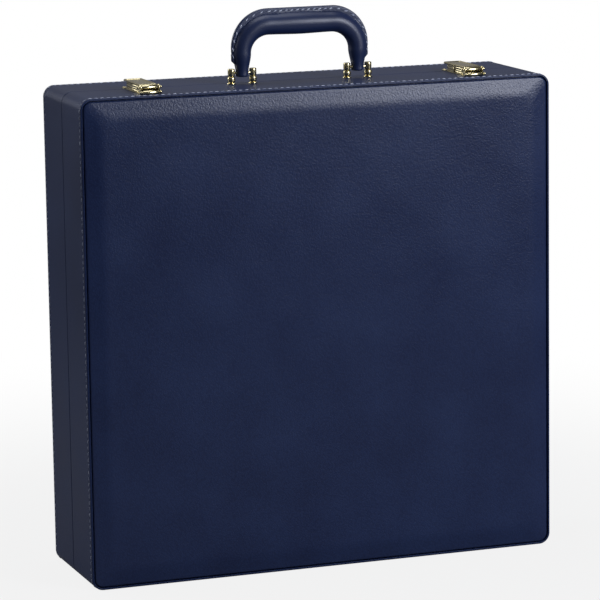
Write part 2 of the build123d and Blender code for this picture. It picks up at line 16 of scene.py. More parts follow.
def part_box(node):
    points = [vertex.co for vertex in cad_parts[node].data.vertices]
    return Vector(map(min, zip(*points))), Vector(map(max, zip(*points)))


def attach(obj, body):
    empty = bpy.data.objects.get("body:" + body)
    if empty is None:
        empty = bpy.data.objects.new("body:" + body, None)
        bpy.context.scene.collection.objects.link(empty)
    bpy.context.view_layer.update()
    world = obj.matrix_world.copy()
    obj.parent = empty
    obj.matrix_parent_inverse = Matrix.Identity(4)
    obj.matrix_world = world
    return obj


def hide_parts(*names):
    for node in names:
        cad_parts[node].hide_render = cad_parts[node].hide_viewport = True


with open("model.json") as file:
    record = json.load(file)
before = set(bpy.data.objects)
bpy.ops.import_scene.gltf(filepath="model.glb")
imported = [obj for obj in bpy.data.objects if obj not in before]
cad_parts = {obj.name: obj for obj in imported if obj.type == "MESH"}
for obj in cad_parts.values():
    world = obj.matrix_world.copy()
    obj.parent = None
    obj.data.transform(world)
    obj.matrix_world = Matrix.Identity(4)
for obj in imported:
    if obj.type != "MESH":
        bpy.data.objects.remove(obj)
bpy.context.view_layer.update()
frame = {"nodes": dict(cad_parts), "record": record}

MM = 0.001
LOG = logging.getLogger("chess_box")
FULL_CIRCLE = 2 * math.pi
QUARTER = math.pi / 2
SAME_POINT = 2e-6
SHARP_DEGREES = 40.0
BEVEL_DEGREES = 35.0
THREAD_SHARP_DEGREES = 80.0
CUSHION_SHARP_DEGREES = 70.0
GRIP_SHARP_DEGREES = 60.0


class Side(Enum):
    """A half of the case, by the sign of its outward direction along Y."""

    FRONT = -1
    BACK = 1

    @property
    def body(self) -> str:
        """Name of the body that this half belongs to."""
        return "body" if self is Side.FRONT else "lid"


# Colour and node helpers


def linear(code: str) -> tuple[float, float, float, float]:
    """Turn an sRGB hex colour into a linear one.

    Args:
        code: the colour as six hex digits, with or without a leading hash.

    Returns:
        Linear red, green, blue and an alpha of one.
    """
    digits = code.lstrip("#")
    parts = [int(digits[k : k + 2], 16) / 255 for k in (0, 2, 4)]
    lit = [p / 12.92 if p <= 0.04045 else ((p + 0.055) / 1.055) ** 2.4 for p in parts]
    return (lit[0], lit[1], lit[2], 1.0)


def add_node(tree: bpy.types.NodeTree, kind: str, settings: dict) -> bpy.types.Node:
    """Add one shader node with its settings and its incoming links.

    Args:
        tree: the node tree of a material or of the world.
        kind: the node's type name, without the part that all shader nodes share.
        settings: values by attribute name, or by input name or number where no attribute has that name.
            An output socket as the value makes a link to that input.

    Returns:
        The new node.
    """
    node = tree.nodes.new(f"ShaderNode{kind}")
    for key, value in settings.items():
        if isinstance(value, bpy.types.NodeSocket):
            tree.links.new(value, node.inputs[key])
        elif isinstance(key, str) and hasattr(node, key):
            setattr(node, key, value)
        else:
            node.inputs[key].default_value = value
    return node


@dataclass(frozen=True)
class Finish:
    """Common ground of all finishes: a named material with a principled shader."""

    name: str

    def sockets(self, tree: bpy.types.NodeTree, at: bpy.types.NodeSocket) -> dict:
        """Add the finish's patterns, read at object coordinates, and say what the shader's sockets get."""
        raise NotImplementedError

    def material(self) -> bpy.types.Material:
        """Build the material from the finish's sockets."""
        material = bpy.data.materials.new(self.name)
        material.use_nodes = True
        tree = material.node_tree
        tree.nodes.clear()
        at = add_node(tree, "TexCoord", {}).outputs["Object"]
        shader = add_node(tree, "BsdfPrincipled", self.sockets(tree, at))
        add_node(tree, "OutputMaterial", {"Surface": shader.outputs["BSDF"]})
        return material


@dataclass(frozen=True)
class GrainedLeather(Finish):
    """Pigment-dyed calf leather, embossed with a fine pebble grain: dark navy with a soft semi-gloss.

    The relief's height is a pebble's dome, plus furrow_share of a crease's rise and fine_share of the pores.
    The tone is the slow patches plus valley_shade_share of the dome: the patches are random tone, and the
    dome's share is painted shade that makes the valleys darker than the crests.
    """

    light: str = "#1b2a4d"
    dark: str = "#111d3d"
    pebble_mm: float = 1.5
    crease_mm: float = 3.4
    patch_mm: float = 70.0
    pore_mm: float = 0.5
    warp_mm: float = 4.0
    warp_share: float = 0.0009
    furrow_share: float = 0.28
    fine_share: float = 0.25
    # share of the dome in the colour: painted shade in the pebble valleys
    valley_shade_share: float = 0.45
    roughness: float = 0.33
    gloss_spread: float = 0.02
    specular: float = 0.35
    relief_mm: float = 0.16

    def sockets(self, tree: bpy.types.NodeTree, at: bpy.types.NodeSocket) -> dict:
        """Pebbles and creases from cell distances, pores from noise, slow patches in colour and gloss,
        painted shade in the pebble valleys.
        """
        warp = add_node(tree, "TexNoise", {"Scale": 1 / (self.warp_mm * MM), "Detail": 1.0, "Vector": at})
        warped = {"blend_type": "LINEAR_LIGHT", "Fac": self.warp_share, "Color1": at}
        moved = add_node(tree, "MixRGB", {**warped, "Color2": warp.outputs["Color"]}).outputs["Color"]
        cells = {"feature": "SMOOTH_F1", "Scale": 1 / (self.pebble_mm * MM), "Smoothness": 0.35}
        pebble = add_node(tree, "TexVoronoi", {**cells, "Vector": moved})
        edges = {"feature": "DISTANCE_TO_EDGE", "Scale": 1 / (self.crease_mm * MM)}
        crease = add_node(tree, "TexVoronoi", {**edges, "Vector": moved})
        furrow = add_node(tree, "MapRange", {"From Max": 0.12, "Value": crease.outputs["Distance"]})
        pores = {"Scale": 1 / (self.pore_mm * MM), "Detail": 3.0, "Roughness": 0.6}
        fine = add_node(tree, "TexNoise", {**pores, "Vector": at})
        patch = add_node(tree, "TexNoise", {"Scale": 1 / (self.patch_mm * MM), "Detail": 4.0, "Vector": at})
        falling = {"From Max": 0.75, "To Min": 1.0, "To Max": 0.0}
        dome = add_node(tree, "MapRange", {**falling, "Value": pebble.outputs["Distance"]}).outputs["Result"]
        weighed = {"operation": "MULTIPLY_ADD"}
        creased = {**weighed, 0: furrow.outputs["Result"], 1: self.furrow_share, 2: dome}
        height = add_node(tree, "Math", creased).outputs["Value"]
        pored = {**weighed, 0: fine.outputs["Fac"], 1: self.fine_share, 2: height}
        relief = add_node(tree, "Math", pored).outputs["Value"]
        # painted shade: the colour darkens into the pebble valleys, on top of the random slow patches
        toned = {**weighed, 0: dome, 1: self.valley_shade_share, 2: patch.outputs["Fac"]}
        tone_and_valley_shade = add_node(tree, "Math", toned).outputs["Value"]
        bumpy = {"Strength": 0.55, "Distance": self.relief_mm * MM, "Height": relief}
        share = add_node(tree, "MapRange", {"From Min": 0.35, "From Max": 1.05, "Value": tone_and_valley_shade})
        colour_pair = {"data_type": "RGBA", 6: linear(self.dark), 7: linear(self.light)}
        low, high = self.roughness - self.gloss_spread, self.roughness + self.gloss_spread
        waxed = {"From Min": 0.3, "From Max": 0.7, "To Min": low, "To Max": high}
        glossy = {**waxed, "Value": patch.outputs["Fac"]}
        return {
            "Base Color": add_node(tree, "Mix", {**colour_pair, 0: share.outputs["Result"]}).outputs[2],
            "Roughness": add_node(tree, "MapRange", glossy).outputs["Result"],
            "Normal": add_node(tree, "Bump", bumpy).outputs["Normal"],
            "IOR": 1.5,
            "Specular IOR Level": self.specular,
        }


@dataclass(frozen=True)
class PolishedBrass(Finish):
    """Turned and stamped brass, polished and lacquered: yellow metal with fine lathe and buffing lines."""

    colour: str = "#dfd3aa"
    shade: str = "#bbae7f"
    tarnish_mm: float = 6.0
    line_mm: float = 3.0
    drawn_out: float = 14.0
    roughness: float = 0.16

    def sockets(self, tree: bpy.types.NodeTree, at: bpy.types.NodeSocket) -> dict:
        """Slight tarnish in slow patches, buffing scratches in the gloss."""
        patch = add_node(tree, "TexNoise", {"Scale": 1 / (self.tarnish_mm * MM), "Detail": 3.0, "Vector": at})
        stretch = add_node(tree, "Mapping", {"Scale": (1.0, self.drawn_out, self.drawn_out), "Vector": at})
        fine = {"Scale": 1 / (self.line_mm * MM), "Detail": 2.0}
        lines = add_node(tree, "TexNoise", {**fine, "Vector": stretch.outputs["Vector"]}).outputs["Fac"]
        metals = {"data_type": "RGBA", 6: linear(self.colour), 7: linear(self.shade)}
        glossy = {"To Min": self.roughness - 0.04, "To Max": self.roughness + 0.08, "Value": lines}
        scratched = {"Strength": 0.03, "Distance": 0.05 * MM, "Height": lines}
        return {
            "Base Color": add_node(tree, "Mix", {**metals, 0: patch.outputs["Fac"]}).outputs[2],
            "Roughness": add_node(tree, "MapRange", glossy).outputs["Result"],
            "Normal": add_node(tree, "Bump", scratched).outputs["Normal"],
            "Metallic": 1.0,
        }


@dataclass(frozen=True)
class ZincSteel(Finish):
    """Zinc-plated mild steel, drawn or rolled: cool grey with a dull sparkle."""

    colour: str = "#a9adb3"
    shade: str = "#868b92"
    spangle_mm: float = 1.8

    def sockets(self, tree: bpy.types.NodeTree, at: bpy.types.NodeSocket) -> dict:
        """Crystalline patches of the plating in colour and gloss."""
        cells = add_node(tree, "TexVoronoi", {"Scale": 1 / (self.spangle_mm * MM), "Vector": at})
        spangle = cells.outputs["Distance"]
        plating = {"data_type": "RGBA", 6: linear(self.colour), 7: linear(self.shade), 0: spangle}
        glossy = {"To Min": 0.26, "To Max": 0.42, "Value": spangle}
        return {
            "Base Color": add_node(tree, "Mix", plating).outputs[2],
            "Roughness": add_node(tree, "MapRange", glossy).outputs["Result"],
            "Metallic": 1.0,
        }


@dataclass(frozen=True)
class Velvet(Finish):
    """Short-pile cotton velvet laid over board: dark navy that lights up at glancing angles."""

    colour: str = "#1a2145"
    lift: str = "#2a3360"
    sheen: str = "#6d7cc0"
    pile_mm: float = 0.6
    nap_mm: float = 35.0

    def sockets(self, tree: bpy.types.NodeTree, at: bpy.types.NodeSocket) -> dict:
        """Brushed pile direction in slow patches, the pile itself as a fine bump."""
        pile = add_node(tree, "TexNoise", {"Scale": 1 / (self.pile_mm * MM), "Detail": 2.0, "Vector": at})
        nap = add_node(tree, "TexNoise", {"Scale": 1 / (self.nap_mm * MM), "Detail": 2.0, "Vector": at})
        colour_pair = {"data_type": "RGBA", 6: linear(self.colour), 7: linear(self.lift), 0: nap.outputs["Fac"]}
        standing = {"Strength": 0.5, "Distance": 0.25 * MM, "Height": pile.outputs["Fac"]}
        return {
            "Base Color": add_node(tree, "Mix", colour_pair).outputs[2],
            "Normal": add_node(tree, "Bump", standing).outputs["Normal"],
            "Roughness": 0.95,
            "Sheen Weight": 0.6,
            "Sheen Roughness": 0.4,
            "Sheen Tint": linear(self.sheen),
        }


@dataclass(frozen=True)
class SandedWood(Finish):
    """Sanded birch plywood and solid wood: pale, with straight grain and a dull surface."""

    light: str = "#c9a877"
    dark: str = "#a98352"
    grain_mm: float = 2.2
    drawn_out: float = 0.06

    def sockets(self, tree: bpy.types.NodeTree, at: bpy.types.NodeSocket) -> dict:
        """Growth lines from a stretched noise, in the colour and as a shallow bump."""
        stretch = add_node(tree, "Mapping", {"Scale": (self.drawn_out, 1.0, 1.0), "Vector": at})
        lines = {"Scale": 1 / (self.grain_mm * MM), "Detail": 5.0, "Distortion": 0.4}
        grain = add_node(tree, "TexNoise", {**lines, "Vector": stretch.outputs["Vector"]}).outputs["Fac"]
        woods = {"data_type": "RGBA", 6: linear(self.dark), 7: linear(self.light), 0: grain}
        sanded = {"Strength": 0.25, "Distance": 0.1 * MM, "Height": grain}
        return {
            "Base Color": add_node(tree, "Mix", woods).outputs[2],
            "Normal": add_node(tree, "Bump", sanded).outputs["Normal"],
            "Roughness": 0.62,
        }


@dataclass(frozen=True)
class WaxedThread(Finish):
    """Bonded polyester thread, twisted and waxed: pale grey-blue with a silky shine."""

    light: str = "#c3c8d6"
    dark: str = "#8f96ab"
    twist_mm: float = 0.8
    bands_per_unit: float = 20.0

    def sockets(self, tree: bpy.types.NodeTree, at: bpy.types.NodeSocket) -> dict:
        """Strands of the twist as fine bands, with painted shade that makes them a little darker where they
        meet.
        """
        scale = 1 / (self.twist_mm * MM) / self.bands_per_unit
        twist = {"bands_direction": "DIAGONAL", "Scale": scale, "Distortion": 0.5, "Vector": at}
        bands = add_node(tree, "TexWave", twist).outputs["Fac"]
        # painted shade between the strands: the dark colour falls where they meet
        colour_pair = {"data_type": "RGBA", 6: linear(self.dark), 7: linear(self.light), 0: bands}
        twisted = {"Strength": 0.3, "Distance": 0.08 * MM, "Height": bands}
        return {
            "Base Color": add_node(tree, "Mix", colour_pair).outputs[2],
            "Normal": add_node(tree, "Bump", twisted).outputs["Normal"],
            "Roughness": 0.45,
        }


# Surfaces


@dataclass(frozen=True)
class Outline:
    """A rectangle with rounded corners, centred on the origin of its own plane."""

    width: float
    height: float
    radius: float

    def inset(self, distance: float, radius: Optional[float] = None) -> "Outline":
        """The outline drawn in by a distance, with its corners rounded by what is left or by radius."""
        width, height = self.width - 2 * distance, self.height - 2 * distance
        rounding = self.radius - distance if radius is None else radius
        least = 0.4 * MM
        return Outline(width, height, max(least, min(rounding, min(width, height) / 2 - 0.1 * MM)))

    def length(self) -> float:
        """Distance once round the outline."""
        r = self.radius
        return 2 * (self.width + self.height - 4 * r) + 2 * math.pi * r

    def at(self, distance: np.ndarray) -> tuple[np.ndarray, np.ndarray]:
        """Points and outward normals at distances along the outline.

        The walk starts at the left end of the bottom side and goes right. Sides are straight runs and each
        corner is a quarter circle, so a point is a start plus a direction times the rest of the distance on
        a side, and a centre plus the radius times the turned normal in a corner.

        Args:
            distance: distances from the start, any number of times round.

        Returns:
            Points and unit normals, both of shape (n, 2).
        """
        r = self.radius
        a, b = self.width / 2 - r, self.height / 2 - r
        quarter = math.pi * r / 2
        runs = np.array([2 * a, quarter, 2 * b, quarter, 2 * a, quarter, 2 * b, quarter])
        ends = np.cumsum(runs)
        s = np.mod(distance, ends[-1])
        k = np.searchsorted(ends, s, side="right").clip(0, 7)
        rest = s - (ends[k] - runs[k])
        starts = np.array([[-a, -b], [a, -b], [a, -b], [a, b], [a, b], [-a, b], [-a, b], [-a, -b]])
        turned = np.array([0, 0, 1, 1, 2, 2, 3, 3]) * QUARTER - QUARTER
        in_corner = (k % 2) == 1
        angle = turned[k] + np.where(in_corner, rest / max(r, 1e-9), 0.0)
        normal = np.stack([np.cos(angle), np.sin(angle)], -1)
        along = np.stack([-normal[:, 1], normal[:, 0]], -1)
        point = starts[k] + r * normal + np.where(in_corner, 0.0, rest)[:, None] * along
        return point, normal

    def loop(self, side_points: int, corner_points: int) -> np.ndarray:
        """Distances that give every loop of one family the same number of points on sides and corners."""
        r = self.radius
        a, b = self.width - 2 * r, self.height - 2 * r
        quarter = math.pi * r / 2
        stops, start = [], 0.0
        for run, count in zip((a, quarter, b, quarter) * 2, (side_points, corner_points) * 4):
            stops.append(start + run * np.arange(count) / count)
            start += run
        return np.concatenate(stops)


def linked(name: str, mesh: bpy.types.Mesh, sharp_degrees: float) -> bpy.types.Object:
    """Smooth a mesh up to an angle and link its object."""
    mesh.shade_smooth()
    mesh.set_sharp_from_angle(angle=math.radians(sharp_degrees))
    piece = bpy.data.objects.new(name, mesh)
    bpy.context.scene.collection.objects.link(piece)
    return piece


def finish_mesh(name: str, mesh: bpy.types.Mesh, sharp_degrees: float) -> bpy.types.Object:
    """Close seams and poles, face the mesh outwards, smooth it and link its object."""
    form = bmesh.new()
    form.from_mesh(mesh)
    bmesh.ops.remove_doubles(form, verts=form.verts, dist=SAME_POINT)
    bmesh.ops.recalc_face_normals(form, faces=form.faces)
    form.to_mesh(mesh)
    form.free()
    return linked(name, mesh, sharp_degrees)


def surface(
    name: str,
    grid: np.ndarray,
    wrap_rows: bool = False,
    wrap_columns: bool = True,
    caps: bool = True,
    sharp_degrees: float = SHARP_DEGREES,
) -> bpy.types.Object:
    """Make a mesh from a grid of points: neighbours in rows and columns share a four-sided face.

    Args:
        name: the piece's name.
        grid: points of shape (rows, columns, 3).
        wrap_rows: the last row joins the first.
        wrap_columns: the last column joins the first.
        caps: close the first and last rows with one face each, where rows don't wrap.
        sharp_degrees: edges that turn more than this stay sharp.

    Returns:
        The new object, at the origin.
    """
    rows, columns = grid.shape[:2]
    spans = rows if wrap_rows else rows - 1, columns if wrap_columns else columns - 1
    r, c = np.indices(spans)
    down, right = (r + 1) % rows, (c + 1) % columns
    quads = np.stack([r * columns + c, r * columns + right, down * columns + right, down * columns + c], -1)
    faces = quads.reshape(-1, 4).tolist()
    if caps and not wrap_rows:
        faces.append(list(range(columns)))
        faces.append([(rows - 1) * columns + k for k in range(columns)])
    mesh = bpy.data.meshes.new(name)
    mesh.from_pydata(grid.reshape(-1, 3).tolist(), [], faces)
    return finish_mesh(name, mesh, sharp_degrees)


def stack(
    name: str,
    outline: Outline,
    centre: Sequence[float],
    rings: Sequence[tuple[float, float]],
    corner_points: int = 6,
) -> bpy.types.Object:
    """Make a plate-like form from level rings of one outline.

    Args:
        name: the piece's name.
        outline: the plate's outline in X and Y.
        centre: middle of the plate in X and Y.
        rings: for each level, how far it is drawn in and its height.
        corner_points: points on each corner.

    Returns:
        The new object.
    """
    levels = []
    for inset, z in rings:
        ring = outline.inset(inset)
        points, _ = ring.at(ring.loop(2, corner_points))
        levels.append(np.column_stack([points + np.asarray(centre), np.full(len(points), z)]))
    return surface(name, np.array(levels))


def lathe(
    name: str, profile: np.ndarray, base: Sequence[float], axis: str, turns: int = 48
) -> bpy.types.Object:
    """Turn a profile about an axis: each profile point (radius, height) becomes a circle.

    Args:
        name: the piece's name.
        profile: points of radius and height, from one pole to the other.
        base: where height zero lies.
        axis: X or Z, the direction of height.
        turns: points round each circle.

    Returns:
        The new object.
    """
    angle = np.linspace(0, FULL_CIRCLE, turns, endpoint=False)
    radius, height = profile[:, 0, None], np.repeat(profile[:, 1, None], turns, 1)
    flat = np.stack([radius * np.cos(angle), radius * np.sin(angle)], -1)
    order = [flat[..., 0], flat[..., 1], height] if axis == "Z" else [height, flat[..., 0], flat[..., 1]]
    return surface(name, np.stack(order, -1) + np.asarray(base))


def arc(centre: Sequence[float], radius: float, start: float, end: float, count: int) -> np.ndarray:
    """Points of a circular arc, from the start to the end angle in degrees."""
    angle = np.radians(np.linspace(start, end, count))
    return np.column_stack([centre[0] + radius * np.cos(angle), centre[1] + radius * np.sin(angle)])


def prism(name: str, outline: np.ndarray, x_low: float, x_high: float, bevel: float) -> bpy.types.Object:
    """Carry a closed outline of Y and Z points along X and round its edges with a bevel."""
    ends = [np.column_stack([np.full(len(outline), x), outline]) for x in (x_low, x_high)]
    piece = surface(name, np.array(ends))
    edge = piece.modifiers.new("edge", "BEVEL")
    edge.width, edge.segments, edge.harden_normals = bevel, 2, True
    edge.limit_method, edge.angle_limit = "ANGLE", math.radians(BEVEL_DEGREES)
    return piece


def joined(name: str, parts: Sequence[bpy.types.Object]) -> bpy.types.Object:
    """Apply each part's modifiers and gather the parts in one object."""
    graph = bpy.context.evaluated_depsgraph_get()
    form = bmesh.new()
    for part in parts:
        mesh = bpy.data.meshes.new_from_object(part.evaluated_get(graph))
        form.from_mesh(mesh)
        bpy.data.meshes.remove(mesh)
    mesh = bpy.data.meshes.new(name)
    form.to_mesh(mesh)
    form.free()
    for part in parts:
        bpy.data.objects.remove(part)
    return linked(name, mesh, SHARP_DEGREES)


def stitches(
    name: str, places: np.ndarray, along: np.ndarray, out: np.ndarray, length: float, radius: float
) -> bpy.types.Object:
    """Lay one short arched thread at each place.

    Each thread is a tube along a shallow arch: its middle stands out by the radius and its ends dive into
    the leather, and its radius shrinks to the ends as the square root of a parabola.

    Args:
        name: the piece's name.
        places: middles of the threads on the leather, shape (n, 3).
        along: unit directions of the threads, shape (n, 3).
        out: unit directions out of the leather, shape (n, 3).
        length: length of one thread.
        radius: radius of the thread.

    Returns:
        One object that holds all the threads.
    """
    rings, around = 7, 6
    t = np.linspace(-1, 1, rings)
    swell = np.sqrt(np.clip(1 - t**4, 0.04, 1))
    angle = np.linspace(0, FULL_CIRCLE, around, endpoint=False)
    across = np.cross(along, out)
    rise = radius * (0.75 - 1.5 * t**4)
    line = (t * length / 2)[:, None] * np.ones(around)
    side = radius * swell[:, None] * np.cos(angle)
    lift = rise[:, None] + radius * swell[:, None] * np.sin(angle)
    points = (
        places[:, None, None, :]
        + line[None, :, :, None] * along[:, None, None, :]
        + side[None, :, :, None] * across[:, None, None, :]
        + lift[None, :, :, None] * out[:, None, None, :]
    )
    count = len(places)
    r, c = np.indices((rings - 1, around))
    right = (c + 1) % around
    quads = np.stack([r * around + c, r * around + right, (r + 1) * around + right, (r + 1) * around + c], -1)
    per = rings * around
    all_quads = (quads.reshape(-1, 4)[None] + np.arange(count)[:, None, None] * per).reshape(-1, 4)
    starts = (np.arange(around)[None] + np.arange(count)[:, None] * per).tolist()
    ends = (np.arange(around)[None] + (rings - 1) * around + np.arange(count)[:, None] * per).tolist()
    mesh = bpy.data.meshes.new(name)
    mesh.from_pydata(points.reshape(-1, 3).tolist(), [], all_quads.tolist() + starts + ends)
    return finish_mesh(name, mesh, THREAD_SHARP_DEGREES)


def dress(piece: bpy.types.Object, material: bpy.types.Material) -> None:
    """Put one material on all of a piece's faces."""
    piece.data.materials.clear()
    piece.data.materials.append(material)


def dress_node(name: str, material: bpy.types.Material) -> None:
    """Give a carried-over node its finish in the material slots it already has."""
    node = frame["nodes"][name]
    if not node.material_slots:
        node.data.materials.append(material)
    for slot in node.material_slots:
        slot.link = "OBJECT"
        slot.material = material


def place(piece: bpy.types.Object, body: str, slot: str, material: bpy.types.Material, *nodes: str) -> None:
    """Dress a new piece, let it ride on its body and hide the nodes it stands for."""
    dress(piece, material)
    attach(piece, body)
    if nodes:
        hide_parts(*nodes)
    LOG.info("%s: %d faces on %s", piece.name, len(piece.data.polygons), body)


def slow_swell(x: np.ndarray, z: np.ndarray, seed: int, wave_mm: float, count: int = 9) -> np.ndarray:
    """Gentle unevenness of stretched leather: a sum of sine waves in seeded directions, between -1 and 1."""
    rng = np.random.default_rng(seed)
    heading = rng.uniform(0, FULL_CIRCLE, count)
    number = FULL_CIRCLE / (wave_mm * MM * rng.uniform(0.6, 1.6, count))
    phase = rng.uniform(0, FULL_CIRCLE, count)
    run = x[..., None] * np.cos(heading) + z[..., None] * np.sin(heading)
    return np.sin(run * number + phase).sum(-1) / count


# Sub-assemblies


@dataclass
class CaseHalf:
    """Leather, padded panel and stitching of one half of the case."""

    side: Side
    leather_mm: float = 1.4
    wall_mm: float = 8.0
    corner_mm: float = 10.5
    rim_width_mm: float = 1.8
    rim_height_mm: float = 4.5
    rim_roll_mm: float = 0.4
    rim_drop_mm: float = 0.3
    seam_mm: float = 0.03
    seam_roll_mm: float = 1.3
    groove_mm: float = 0.9
    pad_foot_mm: float = 2.9
    pad_edge_mm: float = 2.4
    pad_edge_height_mm: float = 1.5
    pad_slope: float = 0.18
    pad_slope_end_mm: float = 12.0
    pad_roll_mm: float = 20.0
    bulge_mm: float = 0.5
    swell_mm: float = 0.12
    swell_wave_mm: float = 55.0
    ripple_mm: float = 0.03
    ripple_wave_mm: float = 16.0
    band_swell_mm: float = 0.07
    band_wave_mm: float = 60.0
    seeds: tuple[int, int, int] = (5, 21, 43)
    valley_mm: float = 0.22
    valley_half_mm: float = 0.8
    stitch_line_mm: float = 3.9
    stitch_pitch_mm: float = 5.7
    stitch_length_mm: float = 3.9
    stitch_depth_mm: float = 0.18
    stitch_slant: float = 0.08
    thread_mm: float = 0.34
    hinge_height_mm: float = 2.6
    hinge_room_mm: float = 2.35
    leaf_reach_mm: float = 8.8
    leaf_thickness_mm: float = 1.2
    bevel_degrees: float = 53.0

    def __post_init__(self) -> None:
        """Read the half's place and size from the frame."""
        low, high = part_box(f"{self.side.body}_leather")
        self.outline = Outline(high[0] - low[0], high[2] - low[2], self.corner_mm * MM)
        self.middle = (high[2] + low[2]) / 2
        self.board_seam, self.rim = sorted((abs(low[1]), abs(high[1])))
        self.seam = self.seam_mm * MM
        leaf_low, leaf_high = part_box(f"hinge_leaf_{self.side.body}")
        self.leaf_half = (leaf_high[0] - leaf_low[0]) / 2

    def lift(self, inset_points: np.ndarray, outward: np.ndarray) -> np.ndarray:
        """Stand points of the outline's plane up in the case, outward from the seam."""
        x = inset_points[..., 0]
        z = inset_points[..., 1] + self.middle
        return np.stack([x, self.side.value * outward, z], -1)

    def section(self) -> np.ndarray:
        """Section of the leather as (inset, outward) points: band, rim, inside, turned seam edge."""
        t, wall = self.leather_mm * MM, (self.leather_mm + self.wall_mm) * MM
        rim_width, roll, seam_roll = self.rim_width_mm * MM, self.rim_roll_mm * MM, self.seam_roll_mm * MM
        crest, drop = rim_width - roll, self.rim_drop_mm * MM
        turn = np.linspace(0, QUARTER - math.atan2(drop, crest - roll), 6)
        fold = np.column_stack([roll * (1 - np.cos(turn)), self.rim - drop - roll + roll * np.sin(turn)])
        share = np.linspace(0, 1, 6)[1:, None]
        bevel = fold[-1] * (1 - share) + np.array([crest, self.rim]) * share
        face = self.rim - self.rim_height_mm * MM
        stitch = self.rim - self.stitch_line_mm * MM
        near = np.linspace(-2.4, 2.4, 13) * MM
        valley = self.valley_mm * MM * np.exp(-((near / (self.valley_half_mm * MM)) ** 2))
        band = np.column_stack([valley, stitch + near])
        heights = np.linspace(self.seam + seam_roll + 2 * MM, stitch - 3.2 * MM, 8)
        plain = np.column_stack([np.zeros(8), heights])
        return np.concatenate(
            [
                arc((seam_roll, self.seam + seam_roll), seam_roll, 270, 180, 7),
                plain,
                band,
                fold,
                bevel,
                arc((rim_width - roll, self.rim - roll), roll, 90, 0, 7),
                [[rim_width, face], [t, face], [t, self.seam + t]],
                np.column_stack([np.linspace(t, wall, 9), np.full(9, self.seam + t)])[1:],
                np.column_stack([np.linspace(wall, seam_roll, 14), np.full(14, self.seam)])[:-1],
            ]
        )

    def hinge_room(self, points: np.ndarray) -> np.ndarray:
        """Push the bottom seam edge outward, clear of the knuckles, the leaf and the swing of the other half.

        Below the axis the edge follows the bevel, beside the axis the circle round the knuckles, and along
        the leaf its thickness: each vertex stands out by the largest of these that applies at its height.
        """
        axis, room = self.hinge_height_mm * MM, self.hinge_room_mm * MM
        x, z = points[..., 0], points[..., 2]
        out = points[..., 1] * self.side.value
        rise = z - axis
        bevel = np.where(rise < 0, -rise * math.tan(math.radians(self.bevel_degrees)), 0)
        knuckle = np.sqrt(np.clip(room**2 - rise**2, 0, None))
        along_leaf = (rise > 0) & (z < self.leaf_reach_mm * MM) & (np.abs(x) < self.leaf_half + 0.2 * MM)
        leaf = np.where(along_leaf, self.board_seam + self.leaf_thickness_mm * MM, 0)
        pushed = np.maximum.reduce([out, bevel, knuckle, leaf])
        near = np.abs(points[..., 2]) < 12 * MM
        result = points.copy()
        result[..., 1] = np.where(near, pushed, out) * self.side.value
        return result

    def leather(self) -> bpy.types.Object:
        """Leather band, rim and turned edge: the section carried round the outline, slightly uneven."""
        section = self.section()
        rows = []
        for inset, outward in section:
            ring = self.outline.inset(float(inset))
            points, normal = ring.at(ring.loop(44, 12))
            on_band = 1.0 if inset < 0.5 * MM and outward < self.rim - 2 * MM else 0.0
            seed = self.seeds[0] + self.side.value
            swell = slow_swell(points[:, 0], points[:, 1] + outward, seed, self.band_wave_mm)
            uneven = self.band_swell_mm * MM * swell
            points = points - normal * (np.abs(uneven) * on_band)[:, None]
            rows.append(self.lift(points, np.full(len(points), outward)))
        grid = self.hinge_room(np.array(rows))
        return surface(f"{self.side.body}_leather_skin", grid, wrap_rows=True)

    def pad_rings(self) -> tuple[np.ndarray, np.ndarray, np.ndarray]:
        """Rings of the padded panel: how far each is drawn in, its corner radius and its height.

        A skirt of leather covers the floor of the groove and the wall rises from it. The edge is an arc of
        an ellipse that turns from upright to the slope, the slope is straight, and after it the height grows
        by a parabola whose own slope falls to nothing where the flat middle starts. In the corners each ring
        is a little rounder than the one before it would leave it, so the mitre stays soft.
        """
        edge, foot, slope = self.pad_edge_mm * MM, self.pad_foot_mm * MM, self.pad_slope
        end, roll = self.pad_slope_end_mm * MM, self.pad_roll_mm * MM
        rise = self.pad_edge_height_mm * MM
        turn = np.linspace(0, math.atan2(rise, edge * slope), 11)
        edge_inset, edge_height = edge * (1 - np.cos(turn)), foot + rise * np.sin(turn)
        ramp = np.linspace(edge_inset[-1], end, 8)[1:]
        ramp_height = edge_height[-1] + slope * (ramp - edge_inset[-1])
        share = np.linspace(0, 1, 8)[1:]
        ease = end + share * (roll - end)
        ease_height = ramp_height[-1] + slope * (roll - end) * (share - share**2 / 2)
        inner = np.concatenate([np.linspace(roll * 1.15, 80 * MM, 14), np.linspace(88 * MM, 220 * MM, 18)])
        skirt = np.array([[-0.55, 0.1], [-0.55, 0.8], [0.2, 1.0], [0.12, 1.9]]) * MM
        inset = np.concatenate([skirt[:, 0], edge_inset, ramp, ease, inner])
        flat = np.full(len(inner), ease_height[-1])
        height = np.concatenate([skirt[:, 1], edge_height, ramp_height, ease_height, flat])
        base = self.outline.radius - (self.rim_width_mm + self.groove_mm) * MM
        corner = base - np.minimum(inset, 4 * MM) * 0.3 + 0.3 * np.clip(inset - 4 * MM, 0, 45 * MM)
        return inset, corner, height

